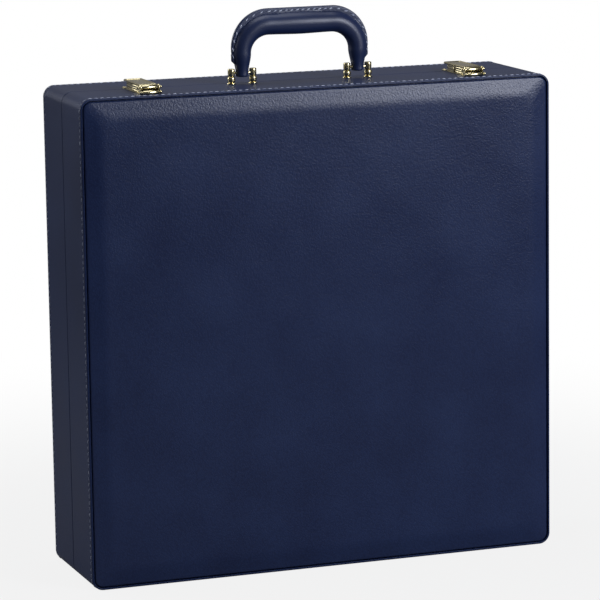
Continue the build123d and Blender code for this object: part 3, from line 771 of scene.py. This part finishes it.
    def padded_panel(self) -> bpy.types.Object:
        """Panel of leather over foam: nested rings, a low overall bulge and slow unevenness."""
        panel = self.outline.inset((self.rim_width_mm + self.groove_mm) * MM)
        face = self.rim - self.rim_height_mm * MM
        bulge = self.bulge_mm * MM
        rows = []
        for inset, corner, height in zip(*self.pad_rings()):
            ring = panel.inset(float(inset), float(corner))
            points, _ = ring.at(ring.loop(110, 16))
            x, z = points[:, 0], points[:, 1]
            dome = (1 - (2 * x / panel.width) ** 2) * (1 - (2 * z / panel.height) ** 2)
            grown = np.clip(inset / (self.pad_roll_mm * MM), 0, 1)
            slow, quick = (seed + self.side.value for seed in self.seeds[1:])
            swell = self.swell_mm * MM * slow_swell(x, z, slow, self.swell_wave_mm) * grown
            ripple = self.ripple_mm * MM * slow_swell(x, z, quick, self.ripple_wave_mm) * grown
            crown = bulge * np.clip(dome, 0, 1) * grown
            rows.append(self.lift(points, face + height + crown + swell + ripple))
        return surface(f"{self.side.body}_panel_cushion", np.array(rows), sharp_degrees=CUSHION_SHARP_DEGREES)

    def stitching(self) -> bpy.types.Object:
        """Thread along the rim, all round the band."""
        length = self.outline.length()
        count = round(length / (self.stitch_pitch_mm * MM))
        points, normal = self.outline.at((np.arange(count) + 0.5) * length / count)
        sunk = points - normal * self.stitch_depth_mm * MM
        line = np.full(count, self.rim - self.stitch_line_mm * MM)
        places = self.lift(sunk, line)
        out = np.column_stack([normal[:, 0], np.zeros(count), normal[:, 1]])
        tangent = np.column_stack([-normal[:, 1], np.full(count, self.stitch_slant), normal[:, 0]])
        tangent /= np.linalg.norm(tangent, axis=1)[:, None]
        name = f"{self.side.body}_rim_stitching"
        length, radius = self.stitch_length_mm * MM, self.thread_mm * MM
        return stitches(name, places, tangent, out, length, radius)

    def build(
        self, leather: bpy.types.Material, panel: bpy.types.Material, thread: bpy.types.Material
    ) -> None:
        """Make and dress the half's leather, panel and stitching."""
        body = self.side.body
        place(self.leather(), body, "navy_leather", leather, f"{body}_leather")
        cushion = self.padded_panel()
        place(cushion, body, "foam_leather", panel, f"{body}_padded_panel")
        place(self.stitching(), body, "navy_leather", thread)


@dataclass
class Handle:
    """Carrying handle: a leather roll with a stitched welt along its outer side."""

    roll_middle_mm: float = 10.3
    roll_bend_mm: float = 9.7
    roll_leg_mm: float = 8.6
    roll_tongue_mm: float = 6.0
    leg_line_mm: float = 57.0
    worn_mm: float = 1.5
    roll_depth_mm: float = 16.4
    bend_mm: float = 26.0
    welt_half_mm: float = 2.0
    welt_draw_mm: float = 5.0
    tongue_reach_mm: float = 3.6
    pivot_height_mm: float = 10.0
    welt_foot_mm: float = 6.2
    welt_rounding_mm: float = 1.3
    fold_mm: float = 1.8
    tongue_round_mm: float = 1.6
    bare_foot_mm: float = 4.0
    slant: float = 0.35
    row_share: float = 0.52
    roll_share: float = 0.92
    stitch_pitch_mm: float = 5.5
    stitch_length_mm: float = 3.9
    thread_mm: float = 0.48
    post_spread_mm: float = 21.0
    post_base_mm: float = 4.1
    pin_length_mm: float = 27.0

    def __post_init__(self) -> None:
        """Read the handle's place from the frame."""
        low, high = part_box("handle_grip")
        pins_low, pins_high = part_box("handle_pins")
        self.line = (pins_low[1] + pins_high[1]) / 2
        self.pivot = (pins_low[2] + pins_high[2]) / 2
        self.top = high[2] - self.worn_mm * MM
        self.half_width = (high[0] - low[0]) / 2
        self.leg = self.leg_line_mm * MM
        self.roll_line = high[2] - self.roll_depth_mm * MM
        bend = self.bend_mm * MM
        self.straight = self.leg - bend
        self.drop = self.roll_line - bend - self.pivot
        self.half_length = self.straight + bend * QUARTER + self.drop + self.tongue_reach_mm * MM

    def path(self, s: np.ndarray) -> tuple[np.ndarray, np.ndarray]:
        """Centre line of the roll from the top's middle to either side: straight, quarter bend, straight.

        Args:
            s: signed distances from the middle, positive to the right.

        Returns:
            Points in X and Z, and unit directions away from the finger gap.
        """
        bend = self.bend_mm * MM
        side, d = np.where(s < 0, -1.0, 1.0), np.abs(s)
        turn = np.clip((d - self.straight) / bend, 0, QUARTER)
        down = np.clip(d - self.straight - bend * QUARTER, 0, None)
        x = np.minimum(d, self.straight) + bend * np.sin(turn)
        z = self.roll_line - bend * (1 - np.cos(turn)) - down
        return np.column_stack([side * x, z]), np.column_stack([side * np.sin(turn), np.cos(turn)])

    def roll_radius(self, s: np.ndarray) -> np.ndarray:
        """Radius of the roll: full on top, narrowing through the bends to the tongues.

        Between two stops the radius runs along a cubic whose slope is zero at both, so no gloss line breaks.
        """
        bend_start, bend_end = self.straight, self.straight + self.bend_mm * MM * QUARTER
        stops = np.array([0, bend_start, bend_end, bend_end + self.drop, self.half_length + 1e-6])
        sizes = np.array([self.roll_middle_mm, self.roll_bend_mm, self.roll_leg_mm, self.roll_tongue_mm]) * MM
        sizes = np.append(sizes, sizes[-1])
        distance = np.clip(np.abs(s), 0, self.half_length)
        k = np.clip(np.searchsorted(stops, distance, side="right") - 1, 0, 3)
        share = (distance - stops[k]) / (stops[k + 1] - stops[k])
        return sizes[k] + (sizes[k + 1] - sizes[k]) * share**2 * (3 - 2 * share)

    def welt_reach(self, s: np.ndarray) -> np.ndarray:
        """How far the welt stands from the roll's centre line.

        On the top and legs it reaches the handle's outer lines. In the bend a ray from the bend's centre
        meets the outer corner's circle. At the foot it is cut on a slant down to the roll.
        """
        bend = self.bend_mm * MM
        outer = bend + self.roll_bend_mm * MM
        direction = self.path(np.abs(s))[1]
        off_x = (self.half_width - outer) - self.straight
        off_z = (self.top - outer) - (self.roll_line - bend)
        along = direction[:, 0] * off_x + direction[:, 1] * off_z
        ray = along + np.sqrt(np.clip(along**2 - off_x**2 - off_z**2 + outer**2, 0, None)) - bend
        turn = (np.abs(s) - self.straight) / bend
        reach = np.where(turn > QUARTER, self.half_width - self.leg, ray)
        reach = np.where(turn < 0, self.top - self.roll_line, reach)
        above = self.path(np.abs(s))[0][:, 1] - self.pivot - self.welt_foot_mm * MM
        draw = self.welt_draw_mm * MM
        slant = (self.half_width - self.leg - draw) + np.clip(above, 0, draw)
        return np.where(above < 0, 0, np.minimum(reach, np.where(above < draw, slant, reach)))

    def grip(self) -> bpy.types.Object:
        """Roll and welt in one skin.

        A section has the half thickness b(n) at a distance n from the centre line: the circle of the roll
        and the flat flange of the welt are joined by a smooth maximum, so the leather folds from one into
        the other. Each section is walked out on one face and back on the other.
        """
        ends, tip, next_to_tip = self.half_length, self.tongue_round_mm * MM, 2.2 * MM
        left, right = np.linspace(-ends, -ends + tip, 6), np.linspace(ends - tip, ends, 6)
        s = np.concatenate([left, np.linspace(-ends + next_to_tip, ends - next_to_tip, 190), right])
        point, outward = self.path(s)
        close = np.clip((ends - np.abs(s)) / tip, 0, 1)
        shrink = np.sqrt(np.clip(1 - (1 - close) ** 2, 0.02, 1)) * 0.25 + 0.75
        radius = self.roll_radius(s) * shrink
        reach = np.maximum(self.welt_reach(s), radius)
        half = 34
        u = (1 - np.cos(np.linspace(0, math.pi, half))) / 2
        n = -radius[:, None] + (reach + radius)[:, None] * u
        circle = np.sqrt(np.clip(radius[:, None] ** 2 - n**2, 0, None))
        rounding, soft = self.welt_rounding_mm * MM, self.fold_mm * MM
        to_end = np.clip((reach[:, None] - n) / rounding, 0, 1)
        flange = self.welt_half_mm * MM * np.sqrt(np.clip(1 - (1 - to_end) ** 2, 0, 1)) * (n > 0)
        flange = flange * (reach > radius * 1.02)[:, None]
        blend = np.clip(0.5 + 0.5 * (circle - flange) / soft, 0, 1)
        thick = flange + (circle - flange) * blend + soft * blend * (1 - blend) * 0.5 * (flange > 0)
        both_n = np.concatenate([n, n[:, -2:0:-1]], 1)
        both_b = np.concatenate([thick, -thick[:, -2:0:-1]], 1)
        x = point[:, 0, None] + both_n * outward[:, 0, None]
        z = point[:, 1, None] + both_n * outward[:, 1, None]
        grid = np.stack([x, self.line + both_b, z], -1)
        return surface("grip_leather", grid, sharp_degrees=GRIP_SHARP_DEGREES)

    def stitching(self) -> bpy.types.Object:
        """Two rows of slanted thread, one on each face of the welt."""
        limit = self.half_length - (self.tongue_reach_mm + self.welt_foot_mm + self.bare_foot_mm) * MM
        count = int(2 * limit / (self.stitch_pitch_mm * MM))
        s = (np.arange(count) + 0.5 - count / 2) * self.stitch_pitch_mm * MM
        point, outward = self.path(s)
        root = self.roll_radius(s) * self.roll_share
        n = root + (self.welt_reach(s) - root) * self.row_share
        rows = []
        for face in (-1, 1):
            along = np.column_stack([outward[:, 1], np.zeros(count), -outward[:, 0]])
            away = np.column_stack([outward[:, 0], np.zeros(count), outward[:, 1]])
            slant = along + away * self.slant
            slant /= np.linalg.norm(slant, axis=1)[:, None]
            y = np.full(count, self.line + face * self.welt_half_mm * MM)
            places = np.column_stack([point[:, 0] + n * outward[:, 0], y, point[:, 1] + n * outward[:, 1]])
            rows.append((places, slant, np.tile([0.0, face, 0.0], (count, 1))))
        places, slant, out = (np.concatenate(group) for group in zip(*rows))
        length, radius = self.stitch_length_mm * MM, self.thread_mm * MM
        return stitches("grip_stitching", places, slant, out, length, radius)

    def posts(self) -> bpy.types.Object:
        """Four turned posts: a flat base, a swelling bulb between two necks, and a barrel with a soft edge.

        The bulb's radius is that of the neck plus a share of its swell: the square root of one less the cube
        of the distance from the bulb's middle, where one is half its height.
        """
        low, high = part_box("handle_posts")
        outer, spread = (high[0] - low[0]) / 2, self.post_spread_mm * MM
        foot = self.pivot - self.pivot_height_mm * MM
        along = np.linspace(-1, 1, 15)
        bulb = np.column_stack([2.5 + 1.15 * np.sqrt(1 - np.abs(along) ** 3), 4.1 + 2.6 * along])
        profile = np.concatenate(
            [
                [[0, -0.1], [3.95, -0.1], [4.1, 0.1], [4.1, 0.55], [3.95, 0.85], [3.2, 1.05], [2.6, 1.3]],
                bulb,
                [[2.5, 6.95], [2.9, 7.25], [3.2, 7.45], [3.3, 7.75], [3.3, 10.5], [3.3, 13.2], [3.15, 13.7]],
                [[2.75, 13.98], [2.0, 14.05], [0, 14.1]],
            ]
        )
        pivot = outer - self.post_base_mm * MM - spread / 2
        forms = [
            lathe("post", profile * MM, (side * pivot + offset, self.line, foot), "Z")
            for side in (-1, 1)
            for offset in (-spread / 2, spread / 2)
        ]
        return joined("turned_posts", forms)

    def pins(self) -> bpy.types.Object:
        """Two pins, each through a pair of posts and a tongue, with low domed ends."""
        low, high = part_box("handle_pins")
        radius, length, edge = (high[2] - low[2]) / 2, self.pin_length_mm * MM, 0.5 * MM
        near = np.array(
            [[0, -0.3 * MM], [radius - edge, -0.2 * MM], [radius - 0.1 * MM, 0.15 * MM], [radius, edge]]
        )
        profile = np.concatenate([near, near[::-1] * [1, -1] + [0, length]])
        starts = (low[0], high[0] - length)
        return joined("pivot_pins", [lathe("pin", profile, (x, self.line, self.pivot), "X") for x in starts])

    def build(
        self, leather: bpy.types.Material, thread: bpy.types.Material, brass: bpy.types.Material
    ) -> None:
        """Make and dress the grip, its stitching, the posts and the pins."""
        place(self.grip(), "handle", "navy_leather", leather, "handle_grip")
        place(self.stitching(), "handle", "navy_leather", thread)
        place(self.posts(), "body", "brass", brass, "handle_posts")
        place(self.pins(), "body", "brass", brass, "handle_pins")


@dataclass
class Latch:
    """One brass latch: base rolled round a rod, grooved cheeks, hinged hasp and keeper."""

    name: str
    plate_mm: float = 1.0
    roll_mm: float = 1.8
    roll_width_mm: float = 14.8
    roll_reach_mm: float = 2.0
    cheek_mm: float = 1.2
    cheek_spread_mm: float = 17.2
    cheek_height_mm: float = 6.6
    groove_depth_mm: float = 0.4
    bands_mm: tuple[tuple[float, float], ...] = ((0.9, 2.5), (3.2, 4.5), (5.2, 6.6))
    ear_line_mm: float = -21.0
    knuckle_mm: float = 2.7
    barrel_mm: float = 2.3
    axis_height_mm: float = 6.0
    strap_mm: float = 1.2
    border_mm: float = 0.5
    hook_width_mm: float = 10.0
    edge_mm: float = 0.22
    bar_bevel_mm: float = 0.12
    hook_bevel_mm: float = 0.15
    plate_corner_mm: float = 2.0
    hasp_corner_mm: float = 1.8
    ear_half_mm: float = 0.8
    ear_height_mm: float = 4.6
    ear_reach_mm: float = 10.0

    def __post_init__(self) -> None:
        """Read the latch's plates from the frame."""
        self.base_low, self.base_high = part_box(f"{self.name}_latch_base")
        self.hasp_low, self.hasp_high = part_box(f"{self.name}_hasp")
        self.keep_low, self.keep_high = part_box(f"{self.name}_keeper")
        self.x = (self.base_low[0] + self.base_high[0]) / 2
        self.floor = self.base_low[2]
        self.axis_y = self.hasp_low[1] + self.barrel_mm * MM
        self.axis_z = self.floor + self.axis_height_mm * MM
        self.roll_y = self.base_low[1] + self.roll_mm * MM
        self.roll_z = self.floor + self.roll_mm * MM

    def bar(self, name: str, y: Sequence[float], z: Sequence[float], x: Sequence[float]) -> bpy.types.Object:
        """A straight bar between two values of Y, of Z and of X, with softened edges."""
        corners = np.array([[y[0], z[0]], [y[1], z[0]], [y[1], z[1]], [y[0], z[1]]])
        return prism(name, corners, min(x), max(x), self.bar_bevel_mm * MM)

    def plate(self, y: Sequence[float], x: Sequence[float]) -> bpy.types.Object:
        """A flat plate on the leather between two values of Y and of X, with round corners and soft edges."""
        edge, thick = self.edge_mm * MM, self.plate_mm * MM
        outline = Outline(x[1] - x[0], y[1] - y[0], self.plate_corner_mm * MM)
        drawn_in, heights = (edge, 0, 0, edge), (0, edge, thick - edge, thick)
        rings = [(inset, self.floor + height) for inset, height in zip(drawn_in, heights)]
        return stack("plate", outline, (self.x, (y[0] + y[1]) / 2), rings)

    def cheek(self, side: int) -> list[bpy.types.Object]:
        """One cheek: a core with a round knuckle, and on its outer face the front plate and three bands."""
        foot, height = self.floor + (self.plate_mm - 0.2) * MM, self.floor + self.cheek_height_mm * MM
        back = self.base_high[1] - 1.5 * MM
        knuckle, half = self.knuckle_mm * MM, self.cheek_mm * MM / 2
        middle = self.x + side * self.cheek_spread_mm * MM / 2
        outer, inner = middle + side * half, middle - side * half
        step = outer - side * self.groove_depth_mm * MM
        crossing = math.degrees(math.asin((height - self.axis_z) / knuckle))
        head = arc((self.axis_y, self.axis_z), knuckle, crossing, 205, 22)
        shin = [[self.axis_y - 1.35 * MM, foot]]
        front = self.axis_y + 2.7 * MM
        core = np.concatenate([head, shin, [[back, foot], [back - 1.0 * MM, height]]])
        plate = np.concatenate([head, shin, [[front, foot], [front, height]]])
        parts = [
            prism("cheek", core, min(step, inner), max(step, inner), self.bar_bevel_mm * MM),
            prism("cheek_front", plate, min(step, outer), max(step, outer), self.hook_bevel_mm * MM),
        ]
        for low, high in self.bands_mm:
            end = back - 0.9 * MM * (high / self.cheek_height_mm)
            height = (self.floor + low * MM, self.floor + high * MM)
            parts.append(self.bar("band", (front - 0.1 * MM, end), height, (step, outer)))
        return parts

    def base(self) -> bpy.types.Object:
        """Base plate with its front edge rolled into a tube, two cheeks and an ear on the handle's side."""
        edge, plate, roll = self.edge_mm * MM, self.plate_mm * MM, self.roll_mm * MM
        low, high = self.base_low, self.base_high
        front = self.roll_y + self.roll_reach_mm * MM
        parts = [self.plate((front, high[1]), (low[0], high[0]))]
        meeting = math.degrees(math.asin((plate - roll) / roll))
        tube = arc((self.roll_y, self.roll_z), roll, meeting, 270, 34)
        tab = [[front + 1.5 * MM, self.floor + 0.02 * MM], [front + 1.5 * MM, self.floor + plate]]
        half = self.roll_width_mm * MM / 2
        parts.append(prism("roll", np.concatenate([tube, tab]), self.x - half, self.x + half, edge))
        for side in (-1, 1):
            parts += self.cheek(side)
        inward = -1 if self.x > 0 else 1
        root = (self.cheek_spread_mm + self.cheek_mm) * MM / 2
        ear = (self.x + inward * root, self.x + inward * self.ear_reach_mm * MM)
        line, half = self.ear_line_mm * MM, self.ear_half_mm * MM
        tall = (self.floor + plate - 0.1 * MM, self.floor + plate + self.ear_height_mm * MM)
        parts.append(self.bar("ear", (line - half, line + half), tall, ear))
        return joined(f"{self.name}_base_brass", parts)

    def hasp(self) -> bpy.types.Object:
        """Hasp: a bordered plate that rolls into its barrel at the front, with a hook at the back."""
        edge = self.edge_mm * MM
        low, high = self.hasp_low, self.hasp_high
        under = self.floor + (self.cheek_height_mm + 0.2) * MM
        top = under + self.strap_mm * MM
        front = self.axis_y + (self.knuckle_mm + 0.4) * MM
        outline = Outline(high[0] - low[0], high[1] - front, self.hasp_corner_mm * MM)
        border = self.border_mm * MM
        rings = [
            (edge, under),
            (0, under + edge),
            (0, top - 0.2 * MM),
            (0.12 * MM, top - 0.05 * MM),
            (0.4 * MM, top),
            (0.5 * MM, top + border - 0.12 * MM),
            (0.62 * MM, top + border),
            (1.6 * MM, top + border),
            (1.72 * MM, top + border - 0.12 * MM),
            (1.85 * MM, top + 0.05 * MM),
            (2.1 * MM, top),
            (4.2 * MM, top + 0.03 * MM),
        ]
        parts = [stack("plate", outline, (self.x, (front + high[1]) / 2), rings)]
        barrel = self.barrel_mm * MM
        half = (self.cheek_spread_mm - self.cheek_mm - 0.4) * MM / 2
        upper = math.degrees(math.asin((top - self.axis_z) / barrel))
        lower = math.degrees(math.asin((under - self.axis_z) / barrel))
        roll = arc((self.axis_y, self.axis_z), barrel, upper, 360 + lower, 42)
        strap = [[front + 1.5 * MM, under + 0.02 * MM], [front + 1.5 * MM, top - 0.02 * MM]]
        parts.append(prism("barrel", np.concatenate([strap, roll]), self.x - half, self.x + half, edge))
        hook = [[0.0, 0.3], [0.0, -4.2], [0.3, -4.6], [1.0, -4.6], [1.3, -4.2], [1.3, 0.3]]
        hook_line = np.array(hook) * MM + [high[1] - 2.1 * MM, under]
        width = self.hook_width_mm * MM / 2
        parts.append(prism("hook", hook_line, self.x - width, self.x + width, self.hook_bevel_mm * MM))
        return joined(f"{self.name}_hasp_brass", parts)

    def keeper(self) -> bpy.types.Object:
        """Keeper plate on the back half, with the upstand for the hook."""
        low, high = self.keep_low, self.keep_high
        parts = [self.plate((low[1], high[1]), (low[0], high[0]))]
        stand = np.array([[0.0, -0.2], [1.3, -0.2], [1.3, 4.2], [1.0, 4.6], [0.3, 4.6], [0.0, 4.2]]) * MM
        stand = stand + [low[1] + 1.6 * MM, self.floor + self.plate_mm * MM]
        width = self.hook_width_mm * MM / 2
        parts.append(prism("upstand", stand, self.x - width, self.x + width, self.hook_bevel_mm * MM))
        return joined(f"{self.name}_keeper_brass", parts)

    def build(self, brass: bpy.types.Material) -> None:
        """Make and dress the latch."""
        place(self.base(), "body", "brass", brass, f"{self.name}_latch_base")
        place(self.hasp(), f"{self.name}_hasp", "brass", brass, f"{self.name}_hasp")
        place(self.keeper(), "lid", "brass", brass, f"{self.name}_keeper")


@dataclass
class LatchPins:
    """The latch pins and the rods of the rolled fronts, all with ball ends, and the rivets."""

    pin_mm: float = 1.0
    pin_ball_mm: float = 1.3
    rod_mm: float = 0.8
    rod_ball_mm: float = 1.5
    rivet_mm: float = 1.6
    head_mm: float = 0.6

    def ball_ended(
        self, name: str, node: str, sites: Sequence[tuple[float, float, float]], sizes: Sequence[float]
    ) -> bpy.types.Object:
        """Straight shanks between two balls, one at each site.

        Args:
            name: the piece's name.
            node: the node that gives the reach of the outermost ball.
            sites: middles of the shanks, the last one the furthest to the right.
            sizes: radius of the shank and of the balls.

        Returns:
            One object that holds them all.
        """
        shank, ball = sizes
        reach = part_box(node)[1][0] - sites[-1][0] - ball
        turn = math.degrees(math.asin(shank / ball))
        left = arc((-reach, 0), ball, 180, turn, 12)
        right = arc((reach, 0), ball, 180 - turn, 0, 12)
        profile = np.concatenate([left, right])[:, ::-1]
        return joined(name, [lathe("pin", profile, site, "X", 26) for site in sites])

    def rivets(self, name: str, sites: Sequence[tuple[float, float, float]]) -> bpy.types.Object:
        """Low domed rivet heads at the given places."""
        radius, head = self.rivet_mm * MM, self.head_mm * MM
        sphere = (radius**2 + head**2) / (2 * head)
        start = math.degrees(math.asin((sphere - head) / sphere))
        dome = arc((0, head - sphere), sphere, start, 90, 7)
        profile = np.concatenate([[[0, -0.2 * MM], [radius, -0.2 * MM]], dome])
        return joined(name, [lathe("rivet", profile, site, "Z", 24) for site in sites])

    def build(self, latches: Sequence[Latch], brass: bpy.types.Material) -> None:
        """Make and dress pins, rods and rivets."""
        axes = [(latch.x, latch.axis_y, latch.axis_z) for latch in latches]
        rolls = [(latch.x, latch.roll_y, latch.roll_z) for latch in latches]
        pin, rod = (self.pin_mm * MM, self.pin_ball_mm * MM), (self.rod_mm * MM, self.rod_ball_mm * MM)
        for node, sites, sizes in (("latch_pins", axes, pin), ("latch_rods", rolls, rod)):
            place(self.ball_ended(f"{node}_brass", node, sites, sizes), "body", "brass", brass, node)
        low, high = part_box("latch_rivets")
        rows = (low[1] + self.rivet_mm * MM, high[1] - self.rivet_mm * MM)
        floor = latches[0].floor + latches[0].plate_mm * MM
        base_sites = [(latch.x, y, floor) for latch in latches for y in rows]
        place(self.rivets("base_rivets", base_sites), "body", "brass", brass, "latch_rivets")
        low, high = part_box("keeper_rivets")
        spread = high[0] - latches[1].x - self.rivet_mm * MM
        line = (low[1] + high[1]) / 2
        keeper_sites = [(latch.x + side * spread, line, floor) for latch in latches for side in (-1, 1)]
        place(self.rivets("keeper_rivet_heads", keeper_sites), "lid", "brass", brass, "keeper_rivets")


@dataclass
class Studio:
    """White floor and background, soft lamps, and the camera at the photograph's angle.

    A lamp is a row of its name, place, aim, size and power.
    """

    floor_reach: float = 1.1
    floor_points: int = 96
    fade_from: float = 0.25
    fade_to: float = 0.95
    floor_in_mirrors: float = 0.1
    lamp_colour: str = "#eef2ff"
    room_colour: str = "#e9edf5"
    white: str = "#ffffff"
    paper: str = "#8c8c8c"
    paper_glow: float = 0.86
    room: float = 0.1
    lens_mm: float = 204.34
    sensor_mm: float = 36.0
    yaw: float = -0.3520
    pitch: float = 0.1627
    roll: float = -0.0749
    offset: tuple[float, float, float] = (0.0089 * 0.457, 0.5255 * 0.457, 7.1203 * 0.457)
    lamps: tuple[tuple, ...] = (
        ("key softbox", (0.93, -1.45, 0.97), (0.0, 0.0, 0.25), 0.75, 29.0),
        ("overhead softbox", (0.0, 0.2, 2.2), (0.0, 0.0, 0.3), 1.2, 15.0),
        ("rear left fill", (-1.9, 1.5, 1.2), (0.0, 0.0, 0.2), 1.2, 30.0),
    )

    def camera(self) -> None:
        """Turn the solved view (camera axes right, down and into the picture) into a placed camera."""
        base = Matrix(((1, 0, 0), (0, 0, -1), (0, 1, 0)))
        turn = Matrix.Rotation(self.yaw, 3, "Y") @ Matrix.Rotation(self.pitch, 3, "X")
        view = turn @ Matrix.Rotation(self.roll, 3, "Z") @ base
        place_at = -(view.transposed() @ Vector(self.offset))
        axes = Matrix((view[0], -view[1], -view[2])).transposed()
        data = bpy.data.cameras.new("camera")
        data.lens, data.sensor_width, data.sensor_fit = self.lens_mm, self.sensor_mm, "HORIZONTAL"
        data.clip_start, data.clip_end = 0.05, 50.0
        camera = bpy.data.objects.new("camera", data)
        camera.matrix_world = Matrix.Translation(place_at) @ axes.to_4x4()
        bpy.context.scene.collection.objects.link(camera)
        bpy.context.scene.camera = camera

    def seen(
        self, tree: bpy.types.NodeTree, mirrored: Union[float, bpy.types.NodeSocket]
    ) -> bpy.types.NodeSocket:
        """One for a camera ray, and the mirrored share for a ray by way of a mirror or through glass.

        Args:
            tree: node tree of the floor's material or of the world.
            mirrored: how much of the background a mirror shows.

        Returns:
            The output that holds the share of the background in what a ray meets.
        """
        path = add_node(tree, "LightPath", {}).outputs
        bounced = {"operation": "ADD", 0: path["Is Glossy Ray"], 1: path["Is Transmission Ray"]}
        by_mirror = add_node(tree, "Math", bounced).outputs[0]
        met = {"operation": "MULTIPLY_ADD", 0: by_mirror, 1: mirrored, 2: path["Is Camera Ray"]}
        return add_node(tree, "Math", met).outputs[0]

    def floor(self) -> None:
        """A round paper floor that keeps the case's shadow and fades into the white background at its rim."""
        angle = np.linspace(0.0, FULL_CIRCLE, self.floor_points, endpoint=False)
        ring = self.floor_reach * np.stack([np.cos(angle), np.sin(angle), 0.0 * angle], -1)
        mesh = bpy.data.meshes.new("floor")
        mesh.from_pydata(ring.tolist(), [], [list(range(len(ring)))])
        floor = bpy.data.objects.new("floor", mesh)
        bpy.context.scene.collection.objects.link(floor)
        material = bpy.data.materials.new("white paper sweep")
        material.use_nodes = True
        tree = material.node_tree
        tree.nodes.clear()
        at = add_node(tree, "TexCoord", {}).outputs["Object"]
        far = add_node(tree, "VectorMath", {"operation": "LENGTH", 0: at}).outputs["Value"]
        fade = {"interpolation_type": "SMOOTHSTEP", "From Min": self.fade_from, "To Min": self.paper_glow}
        rim = self.floor_reach * self.fade_to
        share = add_node(tree, "MapRange", {**fade, "From Max": rim, "Value": far}).outputs[0]
        seen = self.seen(tree, self.floor_in_mirrors)
        shown = add_node(tree, "Math", {"operation": "MULTIPLY", 0: share, 1: seen}).outputs[0]
        paper = add_node(tree, "BsdfDiffuse", {"Color": linear(self.paper)}).outputs[0]
        glow = add_node(tree, "Emission", {"Color": linear(self.white), "Strength": 1.0}).outputs[0]
        mix = add_node(tree, "MixShader", {0: shown, 1: paper, 2: glow})
        add_node(tree, "OutputMaterial", {"Surface": mix.outputs[0]})
        mesh.materials.append(material)

    def world(self) -> None:
        """White to the camera, a white backdrop behind the case in reflections, and a dim room elsewhere."""
        world = bpy.data.worlds.new("studio")
        bpy.context.scene.world = world
        world.use_nodes = True
        tree = world.node_tree
        tree.nodes.clear()
        dim = {"Color": linear(self.room_colour), "Strength": self.room}
        fill = add_node(tree, "Background", dim).outputs[0]
        white = add_node(tree, "Background", {"Color": linear(self.white), "Strength": 1.0}).outputs[0]
        away = add_node(tree, "TexCoord", {}).outputs["Generated"]
        way = add_node(tree, "SeparateXYZ", {0: away}).outputs
        soft = {"interpolation_type": "SMOOTHSTEP"}
        behind = add_node(tree, "MapRange", {**soft, "From Min": 0.55, "From Max": 0.85, "Value": way["Y"]})
        above = add_node(tree, "MapRange", {**soft, "From Min": -0.02, "From Max": 0.02, "Value": way["Z"]})
        brighter = {**soft, "From Min": 0.3, "From Max": 0.6, "To Min": 0.15, "Value": way["Z"]}
        height = add_node(tree, "MapRange", brighter)
        times = {"operation": "MULTIPLY"}
        upper = add_node(tree, "Math", {**times, 0: above.outputs[0], 1: height.outputs[0]}).outputs[0]
        backdrop = add_node(tree, "Math", {**times, 0: behind.outputs[0], 1: upper}).outputs[0]
        shown = self.seen(tree, backdrop)
        mix = add_node(tree, "MixShader", {0: shown, 1: fill, 2: white})
        add_node(tree, "OutputWorld", {"Surface": mix.outputs[0]})

    def lamp(self, name: str, at: Sequence[float], aim: Sequence[float], size: float, power: float) -> None:
        """One square soft lamp, turned from its place towards its aim."""
        data = bpy.data.lights.new(name, "AREA")
        data.shape, data.size, data.energy = "SQUARE", size, power
        data.color = linear(self.lamp_colour)[:3]
        lamp = bpy.data.objects.new(name, data)
        lamp.location = at
        lamp.rotation_mode = "QUATERNION"
        lamp.rotation_quaternion = (Vector(aim) - Vector(at)).to_track_quat("-Z", "Y")
        bpy.context.scene.collection.objects.link(lamp)

    def build(self) -> None:
        """Set up camera, floor, world, lamps and the plain view transform."""
        self.camera()
        self.floor()
        self.world()
        for row in self.lamps:
            self.lamp(*row)
        bpy.context.scene.view_settings.view_transform = "Standard"


def main() -> None:
    """Build every part of the scene in order."""
    logging.basicConfig(level=logging.INFO, format="%(name)s: %(message)s")
    leather = GrainedLeather("navy pebbled calf leather", roughness=0.46, specular=0.22).material()
    panel = GrainedLeather("navy panel leather", pebble_mm=1.7, relief_mm=0.15).material()
    grain = {"pebble_mm": 1.0, "crease_mm": 2.6, "relief_mm": 0.07}
    smooth = GrainedLeather("navy smooth handle leather", roughness=0.4, specular=0.5, **grain).material()
    brass = PolishedBrass("polished brass").material()
    steel = ZincSteel("zinc plated steel").material()
    velvet = Velvet("navy cotton velvet").material()
    wood = SandedWood("sanded birch").material()
    thread = WaxedThread("waxed polyester thread").material()

    for side in Side:
        CaseHalf(side).build(leather, panel, thread)
    Handle().build(smooth, thread, brass)
    latches = [Latch("left"), Latch("right")]
    for latch in latches:
        latch.build(brass)
    LatchPins().build(latches, brass)

    slots = {"wood": wood, "velvet": velvet, "brass": brass, "steel": steel, "navy_leather": leather}
    for row in frame["record"]["subparts"]:
        dress_node(row["node"], slots.get(row["material_slot"], leather))
    Studio().build()


if __name__ == "__main__":
    main()
